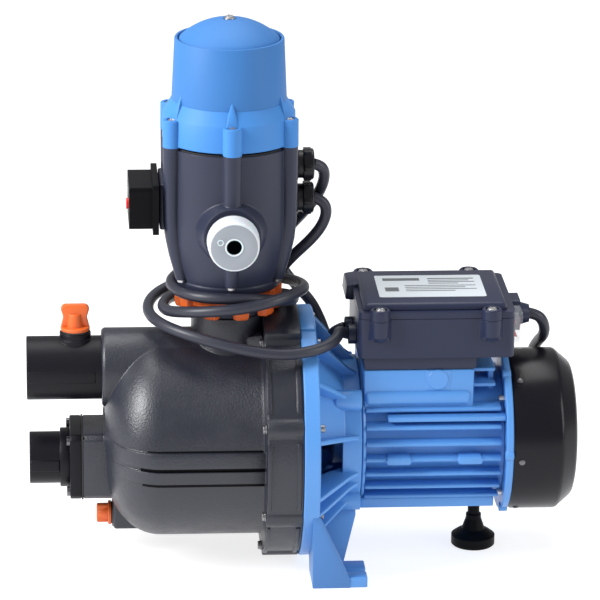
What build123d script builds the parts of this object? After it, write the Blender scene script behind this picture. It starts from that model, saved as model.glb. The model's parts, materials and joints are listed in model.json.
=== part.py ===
from build123d import *

import math
import os

# Self-priming water pump with an electronic pressure controller on its outlet.
# Millimetres. +X runs along the motor shaft towards the fan, +Z is up, and the origin is
# the middle of the two foot slots, on the plane that the feet stand on.

# ---------------------------------------------------------------- driving dimensions
AXIS_H = 91.5  # shaft height above the feet
FIT = 0.05  # radial running clearance
GAP = 0.3  # clearance between pieces that only sit near each other

# casing
BARREL_R = 75.0
BARREL_WALL = 5.0
BARREL_X0 = -134.0  # where the domed end begins
DOME_X = -171.0
DOME_FLAT_R = 27.0
SEAM_X = -30.0  # joint face of casing and bracket
FLANGE_X0 = -57.0
FLANGE_R = 90.0
TOP_PAD_R = 96.5
TOP_PAD_HALF = 23.5  # degrees each side of the top
BOLT_PCD_R = 84.0
BOLT_ANGLES = (21.0, 69.0, 117.0, 161.0)  # degrees from the top, each side
BOLT_R = 3.0
CHANNEL_Z = AXIS_H + 51.5
CHANNEL_R = 29.0
CHANNEL_X0 = -173.5
PORT_R = 23.3  # outside of the upper nozzle
PORT_X0 = -228.0
PORT_BORE_R = 15.15  # bore of a G1 inside thread
THREAD_DEPTH = 20.0
PASSAGE_R = 12.5
NECK_X = -81.0  # axis of the outlet neck and of the controller
NECK_R = 27.0
NECK_TOP = AXIS_H + 96
LOWER_PORT_Z = AXIS_H - 18.2
LOWER_PORT_R = 19.1
LOWER_PORT_X0 = -226.5
LOWER_RING_R = 21.8
LOWER_RING_X = (-204.0, -197.0)
PLATE_HALF = 25.0
PLATE_X = (-197.0, -188.6)
INLET_BLOCK_X0 = -187.4
RIDGE_DROPS = (-2.0, 10.0, 20.0)  # casing ridges, below the shaft
DRAIN_Z = AXIS_H - 62.5
DRAIN_R = 11.0
DRAIN_X0 = -165.3
FILL_X = -192.3
FILL_R = 11.3
FILL_TOP = AXIS_H + 79.5
SEAL_T = 1.5
PLUG_THREAD = 9.0

# hydraulic pieces
IMPELLER_R = BARREL_R - BARREL_WALL - 14.0
IMPELLER_X = (-62.0, -50.0)
DIFFUSER_R = BARREL_R - BARREL_WALL - 6.0
EJECTOR_R = 20.0
EJECTOR_THROAT_R = 7.0
SEAL_PLATE_X = (-42.0, -30.5)

# shaft and motor
SHAFT_R = 7.0
SHAFT_X = (-66.0, 160.0)
BEARING_R = 17.5
BEARING_W = 11.0
FRONT_BEARING_X = -2.0
REAR_BEARING_X = 106.0
ROTOR_R = 28.0
AIR_GAP = 0.5
CORE_X = (28.0, 92.0)
STATOR_R = 44.0
WINDING_LEN = 12.0
MOTOR_X = (14.3, 119.0)
MOTOR_R = 47.0
FIN_ENVELOPE_R = 55.5
FIN_OFFSETS = (31.0, 19.2, 7.6, -4.0, -15.7, -27.3)
FIN_T = 3.0
FIN_X = (16.5, 113.0)
BASE_X = (14.3, 113.0)
BASE_HALF_Y = 41.0
BASE_BOTTOM = AXIS_H - 46.2
SEAT_X = (15.5, 96.0)
SEAT_HALF_Y = 42.0
SEAT_TOP = AXIS_H + 60.8
RING_X = (119.0, 124.3)
RING_R = 60.0
COVER_R = 59.5
COVER_WALL = 1.6
COVER_X = (124.4, 173.0)
COVER_STEP_X = 160.5
COVER_END_R = 49.5
COVER_SLOTS = 18
FAN_R = 50.0
FAN_X = (134.0, 152.0)
FAN_BLADES = 8

# bracket
RIM_X1 = -18.5
RIM_R = 91.5
HUB_R = 56.0
HUB_X = (0.5, 14.0)
HUB_WALL = 8.0
RIB_ANGLES = (45.0, 90.0, 135.0)  # ribs between rim and hub, each side of the top
RIB_T = 5.0
PAD_X = (-23.0, 17.0)
PAD_Y = (50.0, 84.0)
PAD_T = 8.0
LEG_T = 4.5
LEG_TOP = 54.0
FOOT_HOLE_Y = 68.0
FOOT_HOLE_R = 5.0
FOOT_MOUTH = 6.6
REAR_FOOT_X = 103.0
REAR_FOOT_R = 16.2
REAR_STEM_R = 4.4
STEM_TOP = AXIS_H - 41.7

# terminal box
BOX_X = (11.3, 124.3)
BOX_HALF_Y = 46.0
BOX_Z = (AXIS_H + 71.2, AXIS_H + 100.9)
BOX_WALL = 2.5
LID_TOP = AXIS_H + 105.7
PANEL_X = (15.0, 118.4)
PANEL_HALF_Y = 40.0
PANEL_TOP = AXIS_H + 110.9
LID_SCREWS = ((26.2, -49.0), (107.0, -49.0), (21.5, 49.0), (100.3, 49.0))
LID_BOSS_R = 7.4
BOX_GLANDS = ((-17.0, AXIS_H + 80.5), (14.0, AXIS_H + 76))  # Y and Z
BOX_GLAND_X0 = 5.8
BOX_GLAND_R = 7.2
SWITCH_Y = (-32.5, -11.5)
SWITCH_Z = (AXIS_H + 72.3, AXIS_H + 99.7)
SWITCH_DEPTH = 6.9
ROCKER_TILT = 8.0  # degrees each side of upright
LEAD_BLOCK_Y = (-1.0, 21.0)
LEAD_BLOCK_Z = (AXIS_H + 75.8, AXIS_H + 99)
LEAD_BLOCK_X1 = 141.0

# pressure controller
BODY_R = 47.3
BODY_TOP = AXIS_H + 222.5
BODY_WALL = 3.0
BODY_WAIST_Z = AXIS_H + 154.5
BODY_BOTTOM_Z = AXIS_H + 120.5
BODY_BOTTOM_R = 38.0
COLUMN_PCD_R = 48.0
COLUMN_R = 6.4
COLUMN_BOTTOM = AXIS_H + 124
STUD_R = 1.9
STUD_FOOT = AXIS_H + 207.5
CAP_RIM_R = 39.3
CAP_RIM_Z = AXIS_H + 299.5
CAP_CUP_R = 41.4
CAP_CUP_Z = AXIS_H + 254.5
CAP_SKIRT_Z = AXIS_H + 242.5
CAP_BOSS_TOP = AXIS_H + 245.5
CAP_BOSS_BOTTOM = AXIS_H + 219.5
CAP_WALL = 3.0
DOME_TOP = AXIS_H + 313.5
OUTLET_Z = AXIS_H + 167.3
OUTLET_THREAD_R = 16.6
OUTLET_Y = -78.0
OUTLET_COLLAR_R = 21.5
OUTLET_COLLAR_Y = -56.5
CAP_R = (19.0, 17.2)  # closure over the outlet thread, at its mouth and its face
CAP_FACE_Y = -80.5
GLAND_Z = (AXIS_H + 204.7, AXIS_H + 179.5)
GLAND_R = 11.9
GLAND_X1 = -19.6
PANEL_BOX_X = (-153.4, -136.5)
PANEL_BOX_HALF_Y = 24.0
PANEL_BOX_Z = (AXIS_H + 163.1, AXIS_H + 195.5)
PANEL_BASE_HALF_Y = 30.0
PANEL_BASE_Z = (AXIS_H + 160.3, AXIS_H + 198.5)
NUT_R = 33.0
NUT_LUG_R = 37.4
NUT_LUGS = 10
NUT_Z = (AXIS_H + 96.9, AXIS_H + 119.8)

LID_SCREW_Z0 = AXIS_H + 85.5  # foot of the lid's screw posts
LEAD_Z = AXIS_H + 86
DIAPHRAGM_Z = AXIS_H + 200.5
BUTTON_R = 4.0
BUTTON_Y = -10.0
PANEL_MID_Z = (PANEL_BOX_Z[0] + PANEL_BOX_Z[1]) / 2

# cables
CABLE_R = 4.1
COIL_TURN_R = 45.0
COIL_AT = (-80.0, 160.0)
COIL_HALF = 8.4
PLUG_R = 18.5

CONTROL_ROUTE = (
    (-19.6, 0.0, 271.0), (-12.5, 0.0, 268.5), (-9.5, 0.0, 260.0), (-13.0, 1.0, 249.0),
    (-21.0, 3.0, 238.0), (-31.0, 7.0, 227.0), (-38.5, 11.0, 217.5), (-41.5, 20.0, 209.5),
    (-50.0, 34.5, 206.6), (-65.0, 43.5, 206.0), (-83.0, 45.5, 206.0), (-101.0, 40.0, 206.3),
    (-116.0, 26.0, 206.8), (-123.5, 5.0, 207.0), (-120.5, -16.0, 207.0), (-109.0, -33.0, 207.2),
    (-94.0, -42.5, 207.2), (-76.0, -44.0, 206.0), (-58.0, -38.0, 201.5), (-42.0, -25.0, 195.5),
    (-33.0, -7.0, 191.5), (-33.5, 13.0, 189.5), (-44.0, 32.0, 188.0), (-62.0, 44.5, 187.0),
    (-84.0, 48.0, 186.3), (-106.0, 42.0, 186.0), (-123.0, 26.0, 185.6), (-129.5, 3.0, 185.3),
    (-126.0, -20.0, 188.0), (-113.0, -39.0, 193.0), (-95.0, -50.0, 197.0), (-75.0, -53.5, 199.6),
    (-55.0, -49.5, 202.5), (-38.0, -37.0, 204.0), (-27.0, -18.0, 203.2), (-25.5, 4.0, 200.8),
    (-33.0, 27.0, 198.6), (-50.0, 46.0, 196.8), (-73.0, 56.0, 195.6), (-98.0, 55.5, 194.0),
    (-121.0, 43.0, 192.0), (-137.0, 21.0, 189.5), (-140.5, -5.0, 187.0), (-131.5, -29.0, 185.5),
    (-113.5, -47.0, 183.5), (-91.0, -57.5, 179.5), (-67.0, -62.5, 175.0), (-45.0, -62.0, 171.8),
    (-27.0, -57.0, 172.0), (-14.0, -49.5, 173.0), (-5.0, -38.5, 175.0), (-2.0, -29.0, 177.0),
    (-1.3, -21.0, 175.4), (5.8, -17.3, 172.4),
)
FEED_ROUTE = (
    (-19.6, 0.0, 296.2), (-14.0, 1.0, 294.5), (-11.2, 4.0, 287.5), (-12.4, 8.0, 278.0),
    (-16.5, 14.0, 267.0), (-23.0, 22.0, 255.5), (-31.0, 32.0, 243.0), (-39.0, 43.0, 229.0),
    (-42.0, 51.5, 214.0), (-38.0, 56.0, 199.5), (-28.0, 53.5, 187.0), (-17.0, 48.0, 176.5),
    (-10.5, 42.0, 164.5), (-6.8, 34.0, 155.0), (-4.2, 25.0, 152.0), (-3.8, 18.5, 157.5),
    (-1.5, 15.5, 164.0), (5.8, 14.2, 166.8),
)
LEAD_ROUTE = (
    (141.0, 10.0, 177.5), (147.0, 10.0, 176.3), (151.8, 11.3, 171.3), (154.0, 14.5, 163.5),
    (153.7, 20.5, 156.0), (152.3, 31.5, 149.5), (150.5, 45.5, 139.0), (149.0, 57.5, 122.5),
    (148.0, 66.0, 103.0), (147.0, 71.5, 82.0), (146.0, 77.5, 61.0), (143.5, 85.5, 41.0),
    (137.5, 95.0, 23.0), (126.0, 105.0, 10.5), (110.0, 113.0, 5.2), (89.0, 118.0, 4.4),
    (64.0, 119.0, 4.4), (38.0, 115.5, 4.4), (12.0, 110.0, 4.4), (-14.0, 105.3, 4.4),
    (-38.0, 103.5, 4.4), (-58.0, 103.0, 4.4),
)
TAIL_ROUTE = (
    (-36.5, 136.0, 21.2), (-31.5, 146.0, 21.8), (-27.5, 158.0, 24.0), (-25.5, 171.5, 27.5),
    (-27.0, 184.5, 31.0), (-32.0, 196.0, 34.0), (-40.0, 202.5, 35.8), (-49.0, 204.5, 36.2),
)
PLUG_FROM = (-49.0, 204.5, 36.2)  # cable end of the plug's sleeve
PLUG_TURN = -5.0  # degrees that the plug is turned from -X


# ---------------------------------------------------------------- small helpers
def cyl_x(x0, x1, r, y=0.0, z=AXIS_H):
    return Pos((x0 + x1) / 2, y, z) * Rot(0, 90, 0) * Cylinder(r, x1 - x0)


def cyl_y(y0, y1, r, x=0.0, z=0.0):
    return Pos(x, (y0 + y1) / 2, z) * Rot(90, 0, 0) * Cylinder(r, y1 - y0)


def cyl_z(z0, z1, r, x=0.0, y=0.0):
    return Pos(x, y, (z0 + z1) / 2) * Cylinder(r, z1 - z0)


def box(x, y, z):
    """A block between two places along each axis."""
    size = (x[1] - x[0], y[1] - y[0], z[1] - z[0])
    return Pos((x[0] + x[1]) / 2, (y[0] + y[1]) / 2, (z[0] + z[1]) / 2) * Box(*size)


def turned_x(points, z=AXIS_H, y=0.0):
    """A solid turned about an axis along X, from (place along X, radius) points."""
    face = make_face(Plane.XZ * Polyline(*points, close=True))
    return Pos(0, y, z) * revolve(face, Axis.X)


def turned_z(points, x=0.0, y=0.0):
    """A solid turned about an upright axis, from (radius, height) points."""
    face = make_face(Plane.XZ * Polyline(*points, close=True))
    return Pos(x, y, 0) * revolve(face, Axis.Z)


def upright_round(x, y, z, radius):
    """A block with its four upright edges rounded."""
    block = box(x, y, z)
    return fillet(block.edges().filter_by(Axis.Z), radius)


def around_axis(angle, r):
    """Y and Z of a point at that angle from the top of the shaft axis."""
    a = math.radians(angle)
    return -r * math.sin(a), AXIS_H + r * math.cos(a)


def both_sides(angles):
    return [s * a for a in angles for s in (1, -1)]


def at_controller(angle, r):
    """X and Y on the controller, from its side over the outlet."""
    a = math.radians(angle)
    return NECK_X + r * math.sin(a), -r * math.cos(a)


def cable_tube(route, name):
    """A round tube of straight runs joined by arcs as large as the runs allow."""
    radii = []
    for i in range(1, len(route) - 1):
        before = Vector(*route[i]) - Vector(*route[i - 1])
        after = Vector(*route[i + 1]) - Vector(*route[i])
        half = math.radians(before.get_angle(after)) / 2
        radii.append(0.45 * min(before.length, after.length) / math.tan(half))
    path = FilletPolyline(*route, radius=radii)
    start = Plane(origin=path @ 0, z_dir=path % 0)
    tube = sweep(start * Circle(CABLE_R), path=path)
    share = tube.volume / (math.pi * CABLE_R**2 * path.length)
    print(name, "length", round(path.length, 1), "least radius", round(min(radii), 1),
          "volume share", round(share, 4))
    return tube


def save(name, *solids):
    shape = solids[0] if len(solids) == 1 else Compound(children=list(solids))
    export_step(shape, f"parts/{name}.step")


# ---------------------------------------------------------------- casing and ports
def dome_points(r_out, x_end, flat_r):
    """The quarter-ellipse end of the barrel, from its flat to the barrel's side."""
    points = []
    for k in range(9):
        a = math.radians(90 * k / 8)
        x = BARREL_X0 - (BARREL_X0 - x_end) * math.cos(a)
        points.append((x, flat_r + (r_out - flat_r) * math.sin(a)))
    return points


def flange_pad(x0, x1, r, middle, half):
    """A raised stretch of the flange's rim."""
    a = math.radians(half)
    wedge = Polyline((0, 0), (2 * r * math.sin(a), 2 * r * math.cos(a)),
                     (-2 * r * math.sin(a), 2 * r * math.cos(a)), close=True)
    cutter = extrude(make_face(Plane.YZ * wedge), x1 - x0)
    disc = cyl_x(x0, x1, r) - cyl_x(x0, x1, FLANGE_R - 6)
    return disc & (Pos(x0, 0, AXIS_H) * Rot(middle, 0, 0) * cutter)


def casing():
    outer = [(DOME_X, 0)] + dome_points(BARREL_R, DOME_X, DOME_FLAT_R)
    outer += [(FLANGE_X0, BARREL_R), (FLANGE_X0, FLANGE_R), (SEAM_X, FLANGE_R), (SEAM_X, 0)]
    body = turned_x(outer)
    body += cyl_x(CHANNEL_X0, FLANGE_X0 + 4, CHANNEL_R, z=CHANNEL_Z)
    body += turned_x([(PORT_X0, 0), (PORT_X0, PORT_R), (CHANNEL_X0 + 2, PORT_R + 0.6),
                      (CHANNEL_X0 + 2, 0)], z=CHANNEL_Z)
    body += cyl_z(CHANNEL_Z, NECK_TOP, NECK_R, NECK_X)
    body += box((INLET_BLOCK_X0, DOME_X + 22), (-PLATE_HALF, PLATE_HALF),
                (LOWER_PORT_Z - PLATE_HALF, LOWER_PORT_Z + PLATE_HALF))
    body += cyl_x(DRAIN_X0, BARREL_X0 + 12, DRAIN_R, z=DRAIN_Z)
    body += box((DRAIN_X0, BARREL_X0 + 12), (-DRAIN_R, DRAIN_R),
                (DRAIN_Z - DRAIN_R + 1, DRAIN_Z + 8))
    body += cyl_z(CHANNEL_Z, FILL_TOP, FILL_R, FILL_X)
    body += flange_pad(FLANGE_X0, SEAM_X, TOP_PAD_R, 0, TOP_PAD_HALF)
    for drop in RIDGE_DROPS:
        for side in (-1, 1):
            r = math.sqrt((BARREL_R + 2) ** 2 - drop**2)
            y = (side * (r - 6), side * r)
            body += box((BARREL_X0 - 8, FLANGE_X0 + 1), sorted(y),
                        (AXIS_H - drop - 2, AXIS_H - drop + 2))
    for angle in both_sides(BOLT_ANGLES):
        y, z = around_axis(angle, BOLT_PCD_R)
        body += cyl_x(FLANGE_X0, SEAM_X, 8.5, y, z)

    inner_r = BARREL_R - BARREL_WALL
    inner_x = DOME_X + BARREL_WALL
    inner = [(inner_x, 0)] + dome_points(inner_r, inner_x, DOME_FLAT_R - 2)
    inner += [(SEAM_X, inner_r), (SEAM_X, 0)]
    body -= turned_x(inner)
    body -= cyl_x(PORT_X0, PORT_X0 + THREAD_DEPTH, PORT_BORE_R, z=CHANNEL_Z)
    body -= cyl_x(PORT_X0 + THREAD_DEPTH, FLANGE_X0 - 8, PASSAGE_R, z=CHANNEL_Z)
    body -= cyl_z(AXIS_H + inner_r - 20, NECK_TOP, NECK_R - 8, NECK_X)
    body -= cyl_x(INLET_BLOCK_X0, INLET_BLOCK_X0 + 12, PASSAGE_R + 3, z=LOWER_PORT_Z)
    body -= cyl_x(INLET_BLOCK_X0 + 10, DOME_X + 14, PASSAGE_R - 3, z=LOWER_PORT_Z)
    body -= cyl_x(DRAIN_X0, BARREL_X0 + 14, DRAIN_R - 4.5, z=DRAIN_Z)
    body -= cyl_z(CHANNEL_Z, FILL_TOP, FILL_R - 3.5, FILL_X)
    for angle in both_sides(BOLT_ANGLES):
        y, z = around_axis(angle, BOLT_PCD_R)
        body -= cyl_x(FLANGE_X0, SEAM_X, BOLT_R + GAP, y, z)
    for y in (-1, 1):
        for z in (-1, 1):
            body -= cyl_x(INLET_BLOCK_X0, INLET_BLOCK_X0 + 12, 2.0, y * 19.5,
                          LOWER_PORT_Z + z * 19.5)
    return body


def inlet_adapter():
    """Lower nozzle on its square plate, bolted to the casing's inlet block."""
    x0, x1 = LOWER_PORT_X0, PLATE_X[1]
    half = (LOWER_PORT_Z - PLATE_HALF, LOWER_PORT_Z + PLATE_HALF)
    body = cyl_x(x0, x1, LOWER_PORT_R, z=LOWER_PORT_Z)
    body += cyl_x(LOWER_RING_X[0], LOWER_RING_X[1] + 1, LOWER_RING_R, z=LOWER_PORT_Z)
    body += box(PLATE_X, (-PLATE_HALF, PLATE_HALF), half)
    body -= cyl_x(x0, x0 + THREAD_DEPTH, PORT_BORE_R, z=LOWER_PORT_Z)
    body -= cyl_x(x0 + THREAD_DEPTH - 1, x1, PASSAGE_R - 2, z=LOWER_PORT_Z)
    for y in (-1, 1):
        for z in (-1, 1):
            body -= cyl_x(PLATE_X[0], x1, 2.3, y * 19.5, LOWER_PORT_Z + z * 19.5)
    return body


def inlet_gasket():
    half = (LOWER_PORT_Z - PLATE_HALF + 0.6, LOWER_PORT_Z + PLATE_HALF - 0.6)
    sheet = box((PLATE_X[1], INLET_BLOCK_X0), (0.6 - PLATE_HALF, PLATE_HALF - 0.6), half)
    sheet -= cyl_x(PLATE_X[1], INLET_BLOCK_X0, PASSAGE_R + 3, z=LOWER_PORT_Z)
    for y in (-1, 1):
        for z in (-1, 1):
            sheet -= cyl_x(PLATE_X[1], INLET_BLOCK_X0, 2.3, y * 19.5,
                           LOWER_PORT_Z + z * 19.5)
    return sheet


def inlet_screws():
    screws = []
    for y in (-1, 1):
        for z in (-1, 1):
            at = (y * 19.5, LOWER_PORT_Z + z * 19.5)
            screw = cyl_x(PLATE_X[0] - 2.4, PLATE_X[0], 3.6, *at)
            screws.append(screw + cyl_x(PLATE_X[0], INLET_BLOCK_X0 + 10, 1.9, *at))
    return screws


def check_valve():
    """Flap disc and stem that close the lower port against flow going back."""
    x = INLET_BLOCK_X0 + 0.6
    disc = cyl_x(x, x + 2.5, PASSAGE_R + 1.5, z=LOWER_PORT_Z)
    return disc + cyl_x(x + 2.5, x + 10, 2.0, z=LOWER_PORT_Z)


def ejector():
    """Nozzle and flared tube that feed the impeller's eye."""
    x0, x1 = DOME_X + BARREL_WALL + 9, IMPELLER_X[0] - 9
    mid = x0 + 0.4 * (x1 - x0)
    outer = [(x0, 0), (x0, EJECTOR_R - 6), (mid, EJECTOR_THROAT_R + 4), (x1, EJECTOR_R),
             (x1, 0)]
    inner = [(x0 - 1, 0), (x0 - 1, EJECTOR_R - 9), (mid, EJECTOR_THROAT_R),
             (x1 + 1, EJECTOR_R - 4), (x1 + 1, 0)]
    return turned_x(outer) - turned_x(inner)


def diffuser():
    """Bowl round the impeller that turns its speed into pressure."""
    x0, x1 = IMPELLER_X[0] - 8, SEAL_PLATE_X[0] - GAP
    bowl = cyl_x(x0, x1, DIFFUSER_R) - cyl_x(x0 + 4, x1, DIFFUSER_R - 5)
    bowl -= cyl_x(x0, x1, EJECTOR_R + GAP)
    for k in range(6):
        y, z = around_axis(60 * k + 30, DIFFUSER_R - 3)
        bowl -= cyl_x(x0 + 5, x1, 4.0, y, z)
    return bowl


def impeller():
    x0, x1 = IMPELLER_X
    body = cyl_x(x1 - 2.5, x1, IMPELLER_R)
    body += cyl_x(x0, x0 + 2.5, IMPELLER_R) - cyl_x(x0, x0 + 2.5, 20.0)
    body += cyl_x(x0 - 3, x1, 12.0)
    for k in range(6):
        vane = box((x0 + 2, x1 - 2), (-1.2, 1.2), (11.0, IMPELLER_R - 1))
        body += Pos(0, 0, AXIS_H) * Rot(60 * k, 0, 0) * vane
    return body - cyl_x(x0 - 4, x1 + 1, SHAFT_R)


def seal_plate():
    """Stainless wall between the water and the bracket."""
    x0, x1 = SEAL_PLATE_X
    inner_r = BARREL_R - BARREL_WALL
    plate = cyl_x(x0, x1, inner_r - GAP) - cyl_x(x0 + 3, x1, inner_r - 6)
    plate += cyl_x(x0, x1, 16.0)
    return plate - cyl_x(x0, x1, 11.0)


def mechanical_seal():
    x0, x1 = SEAL_PLATE_X
    return cyl_x(x0 - 4, x1, 11.0 - FIT) - cyl_x(x0 - 4, x1, SHAFT_R + FIT)


def casing_seal():
    r = BARREL_R - BARREL_WALL - GAP
    ring = Plane.XZ * Pos(SEAL_PLATE_X[0] - 2.4, r - 2.2) * Circle(2.0)
    return Pos(0, 0, AXIS_H) * revolve(ring, Axis.X)


def casing_bolts():
    """Hexagon-headed bolts with nuts behind the rim."""
    bolts = []
    for angle in both_sides(BOLT_ANGLES):
        y, z = around_axis(angle, BOLT_PCD_R)
        hexagon = Plane.YZ * RegularPolygon(5.8, 6, rotation=30)
        head = Pos(FLANGE_X0 - 4.2, y, z) * extrude(hexagon, 4.2)
        nut = Pos(RIM_X1, y, z) * extrude(hexagon, 4.0)
        shank = cyl_x(FLANGE_X0 - 0.1, RIM_X1 + 6, BOLT_R, y, z)
        bolts.append(head + shank + nut)
    return bolts


def fill_plug():
    """Wing plug in the upper port's filling boss."""
    r = FILL_R - 3.5 - GAP
    top = FILL_TOP + SEAL_T + 0.1
    body = cyl_z(FILL_TOP - PLUG_THREAD, top, r, FILL_X)
    body += cyl_z(top, FILL_TOP + 6.0, FILL_R - 0.4, FILL_X)
    wing = Polyline((-10.4, 5.0), (-8.4, 11.0), (-10.2, 18.5), (-8.6, 21.0), (8.6, 21.0),
                    (10.2, 18.5), (8.4, 11.0), (10.4, 5.0), close=True)
    wing = extrude(make_face(Plane.XZ * wing), 3.0, both=True)
    return body + Pos(FILL_X, 0, FILL_TOP) * wing


def fill_seal():
    z = (FILL_TOP + 0.05, FILL_TOP + SEAL_T)
    return cyl_z(*z, FILL_R - 1.2, FILL_X) - cyl_z(*z, FILL_R - 3.5 - GAP + FIT, FILL_X)


def drain_plug():
    """Wing plug in the drain boss, pointing to -X."""
    r = DRAIN_R - 4.5 - GAP
    face = DRAIN_X0 - SEAL_T - 0.1
    body = cyl_x(face, DRAIN_X0 + PLUG_THREAD, r, z=DRAIN_Z)
    body += cyl_x(DRAIN_X0 - 3.9, face, 9.0, z=DRAIN_Z)
    wing = box((DRAIN_X0 - 12.5, DRAIN_X0 - 3), (-2.6, 2.6), (DRAIN_Z - 7.3, DRAIN_Z + 7.3))
    return body + fillet(wing.edges().filter_by(Axis.Y), 2.0)


def drain_seal():
    x = (DRAIN_X0 - SEAL_T, DRAIN_X0 - 0.05)
    return cyl_x(*x, 8.2, z=DRAIN_Z) - cyl_x(*x, DRAIN_R - 4.5 - GAP + FIT, z=DRAIN_Z)


# ---------------------------------------------------------------- bracket
def bracket():
    """Lantern between casing and motor, with two open feet."""
    rim = cyl_x(SEAM_X, RIM_X1, RIM_R)
    rim += flange_pad(SEAM_X, RIM_X1, TOP_PAD_R - 4, 0, TOP_PAD_HALF - 8)
    cone = turned_x([(RIM_X1, 0), (RIM_X1, 72.0), (HUB_X[0], HUB_R), (HUB_X[1], HUB_R),
                     (HUB_X[1], 0)])
    body = rim + cone
    for angle in both_sides((45.0, 135.0)):
        y, z = around_axis(angle, HUB_R - 1)
        body += cyl_x(HUB_X[0] - 8, HUB_X[1], 7.0, y, z)
    for angle in (0.0, 180.0, *both_sides(RIB_ANGLES)):
        rib = Polyline((RIM_X1 - 1, 60), (RIM_X1 - 1, RIM_R - 6), (HUB_X[0] + 7, HUB_R + 0.5),
                       (HUB_X[0] + 7, 50), close=True)
        rib = extrude(make_face(Plane.XZ * rib), RIB_T / 2, both=True)
        body += Pos(0, 0, AXIS_H) * Rot(-angle, 0, 0) * rib
    body += legs()
    inside = turned_x([(RIM_X1 - 6, 0), (RIM_X1 - 6, 64.0), (RIM_X1, 64.0),
                       (HUB_X[0] - 2, HUB_R - HUB_WALL), (HUB_X[1] - 6, HUB_R - HUB_WALL),
                       (HUB_X[1] - 6, 0)])
    body -= inside
    body += cyl_x(FRONT_BEARING_X - 2, HUB_X[1], BEARING_R + 5)
    body -= cyl_x(FRONT_BEARING_X, FRONT_BEARING_X + BEARING_W, BEARING_R)
    body -= cyl_x(SEAM_X - 1, HUB_X[1] + 1, SHAFT_R + 4)
    body -= cyl_x(SEAM_X - 1, RIM_X1 - 5, 17.0)
    for side in (-1, 1):
        window = box((RIM_X1 + 1.0, HUB_X[0] - 0.5), sorted((side * 30, side * 95)),
                     (AXIS_H - 10.5, AXIS_H + 14))
        body -= window
    body -= box((RIM_X1 + 2.0, HUB_X[0] - 1.0), (-26, 26), (0, AXIS_H - 30))
    for angle in both_sides(BOLT_ANGLES):
        y, z = around_axis(angle, BOLT_PCD_R)
        body -= cyl_x(SEAM_X, RIM_X1, BOLT_R + GAP, y, z)
    return body


def legs():
    """Two feet: a plate down from the rim, two gussets and a slotted pad each."""
    made = Part()
    for side in (-1, 1):
        y_out, y_in = side * PAD_Y[1], side * PAD_Y[0]
        across = sorted((y_in, y_out))
        foot = box(PAD_X, across, (0, PAD_T))
        plate = Polyline((y_in - side * 14, AXIS_H - 66), (y_in, 0), (y_out, 0), (y_out, LEG_TOP),
                         (side * 66, LEG_TOP + 8), close=True)
        foot += Pos(PAD_X[0], 0, 0) * extrude(make_face(Plane.YZ * plate), LEG_T)
        gusset = Polyline((PAD_X[0] + 1, 0), (PAD_X[0] + 1, LEG_TOP + 1), (RIM_X1, LEG_TOP + 1),
                          (PAD_X[0] + 27.5, PAD_T - 2), (PAD_X[0] + 27.5, 0), close=True)
        gusset = extrude(make_face(Plane.XZ * gusset), 2.0, both=True)
        foot += Pos(0, side * (PAD_Y[1] - 2.0), 0) * gusset
        web = Polyline((PAD_X[0] + 1, 0), (PAD_X[0] + 1, 66), (HUB_X[1] - 3, 66),
                       (HUB_X[1] - 3, 44), (1.5, PAD_T - 2), (1.5, 0), close=True)
        web = extrude(make_face(Plane.XZ * web), 2.5, both=True)
        foot += Pos(0, y_in + side * 2.5, 0) * Rot(side * 14, 0, 0) * web
        foot &= box((-60, 60), sorted((side * 5, side * PAD_Y[1])), (0, 80))
        hole = cyl_z(-1, PAD_T + 1, FOOT_HOLE_R, 0, side * FOOT_HOLE_Y)
        mouth = box((0, PAD_X[1] + 1), (side * FOOT_HOLE_Y - FOOT_MOUTH / 2,
                                        side * FOOT_HOLE_Y + FOOT_MOUTH / 2), (-1, PAD_T + 1))
        made += foot - hole - mouth
    return made


def rear_foot():
    """Scalloped disc that swivels on the levelling stem."""
    foot = turned_z([(0, 0), (REAR_FOOT_R - 0.8, 0), (REAR_FOOT_R, 0.8), (REAR_FOOT_R, 7.5),
                     (REAR_FOOT_R - 4, 10.5), (8.5, 12.5), (5.8, 20.5), (REAR_STEM_R + 1.2, 24.0),
                     (0, 24.0)], REAR_FOOT_X)
    for k in range(6):
        a = math.radians(60 * k + 30)
        x = REAR_FOOT_X + (REAR_FOOT_R + 5.5) * math.cos(a)
        foot -= cyl_z(8.5, 30, 7.5, x, (REAR_FOOT_R + 5.5) * math.sin(a))
    return foot - cyl_z(10, 25, REAR_STEM_R + FIT, REAR_FOOT_X)


def foot_stem():
    return cyl_z(10.1, STEM_TOP, REAR_STEM_R, REAR_FOOT_X)


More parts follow.
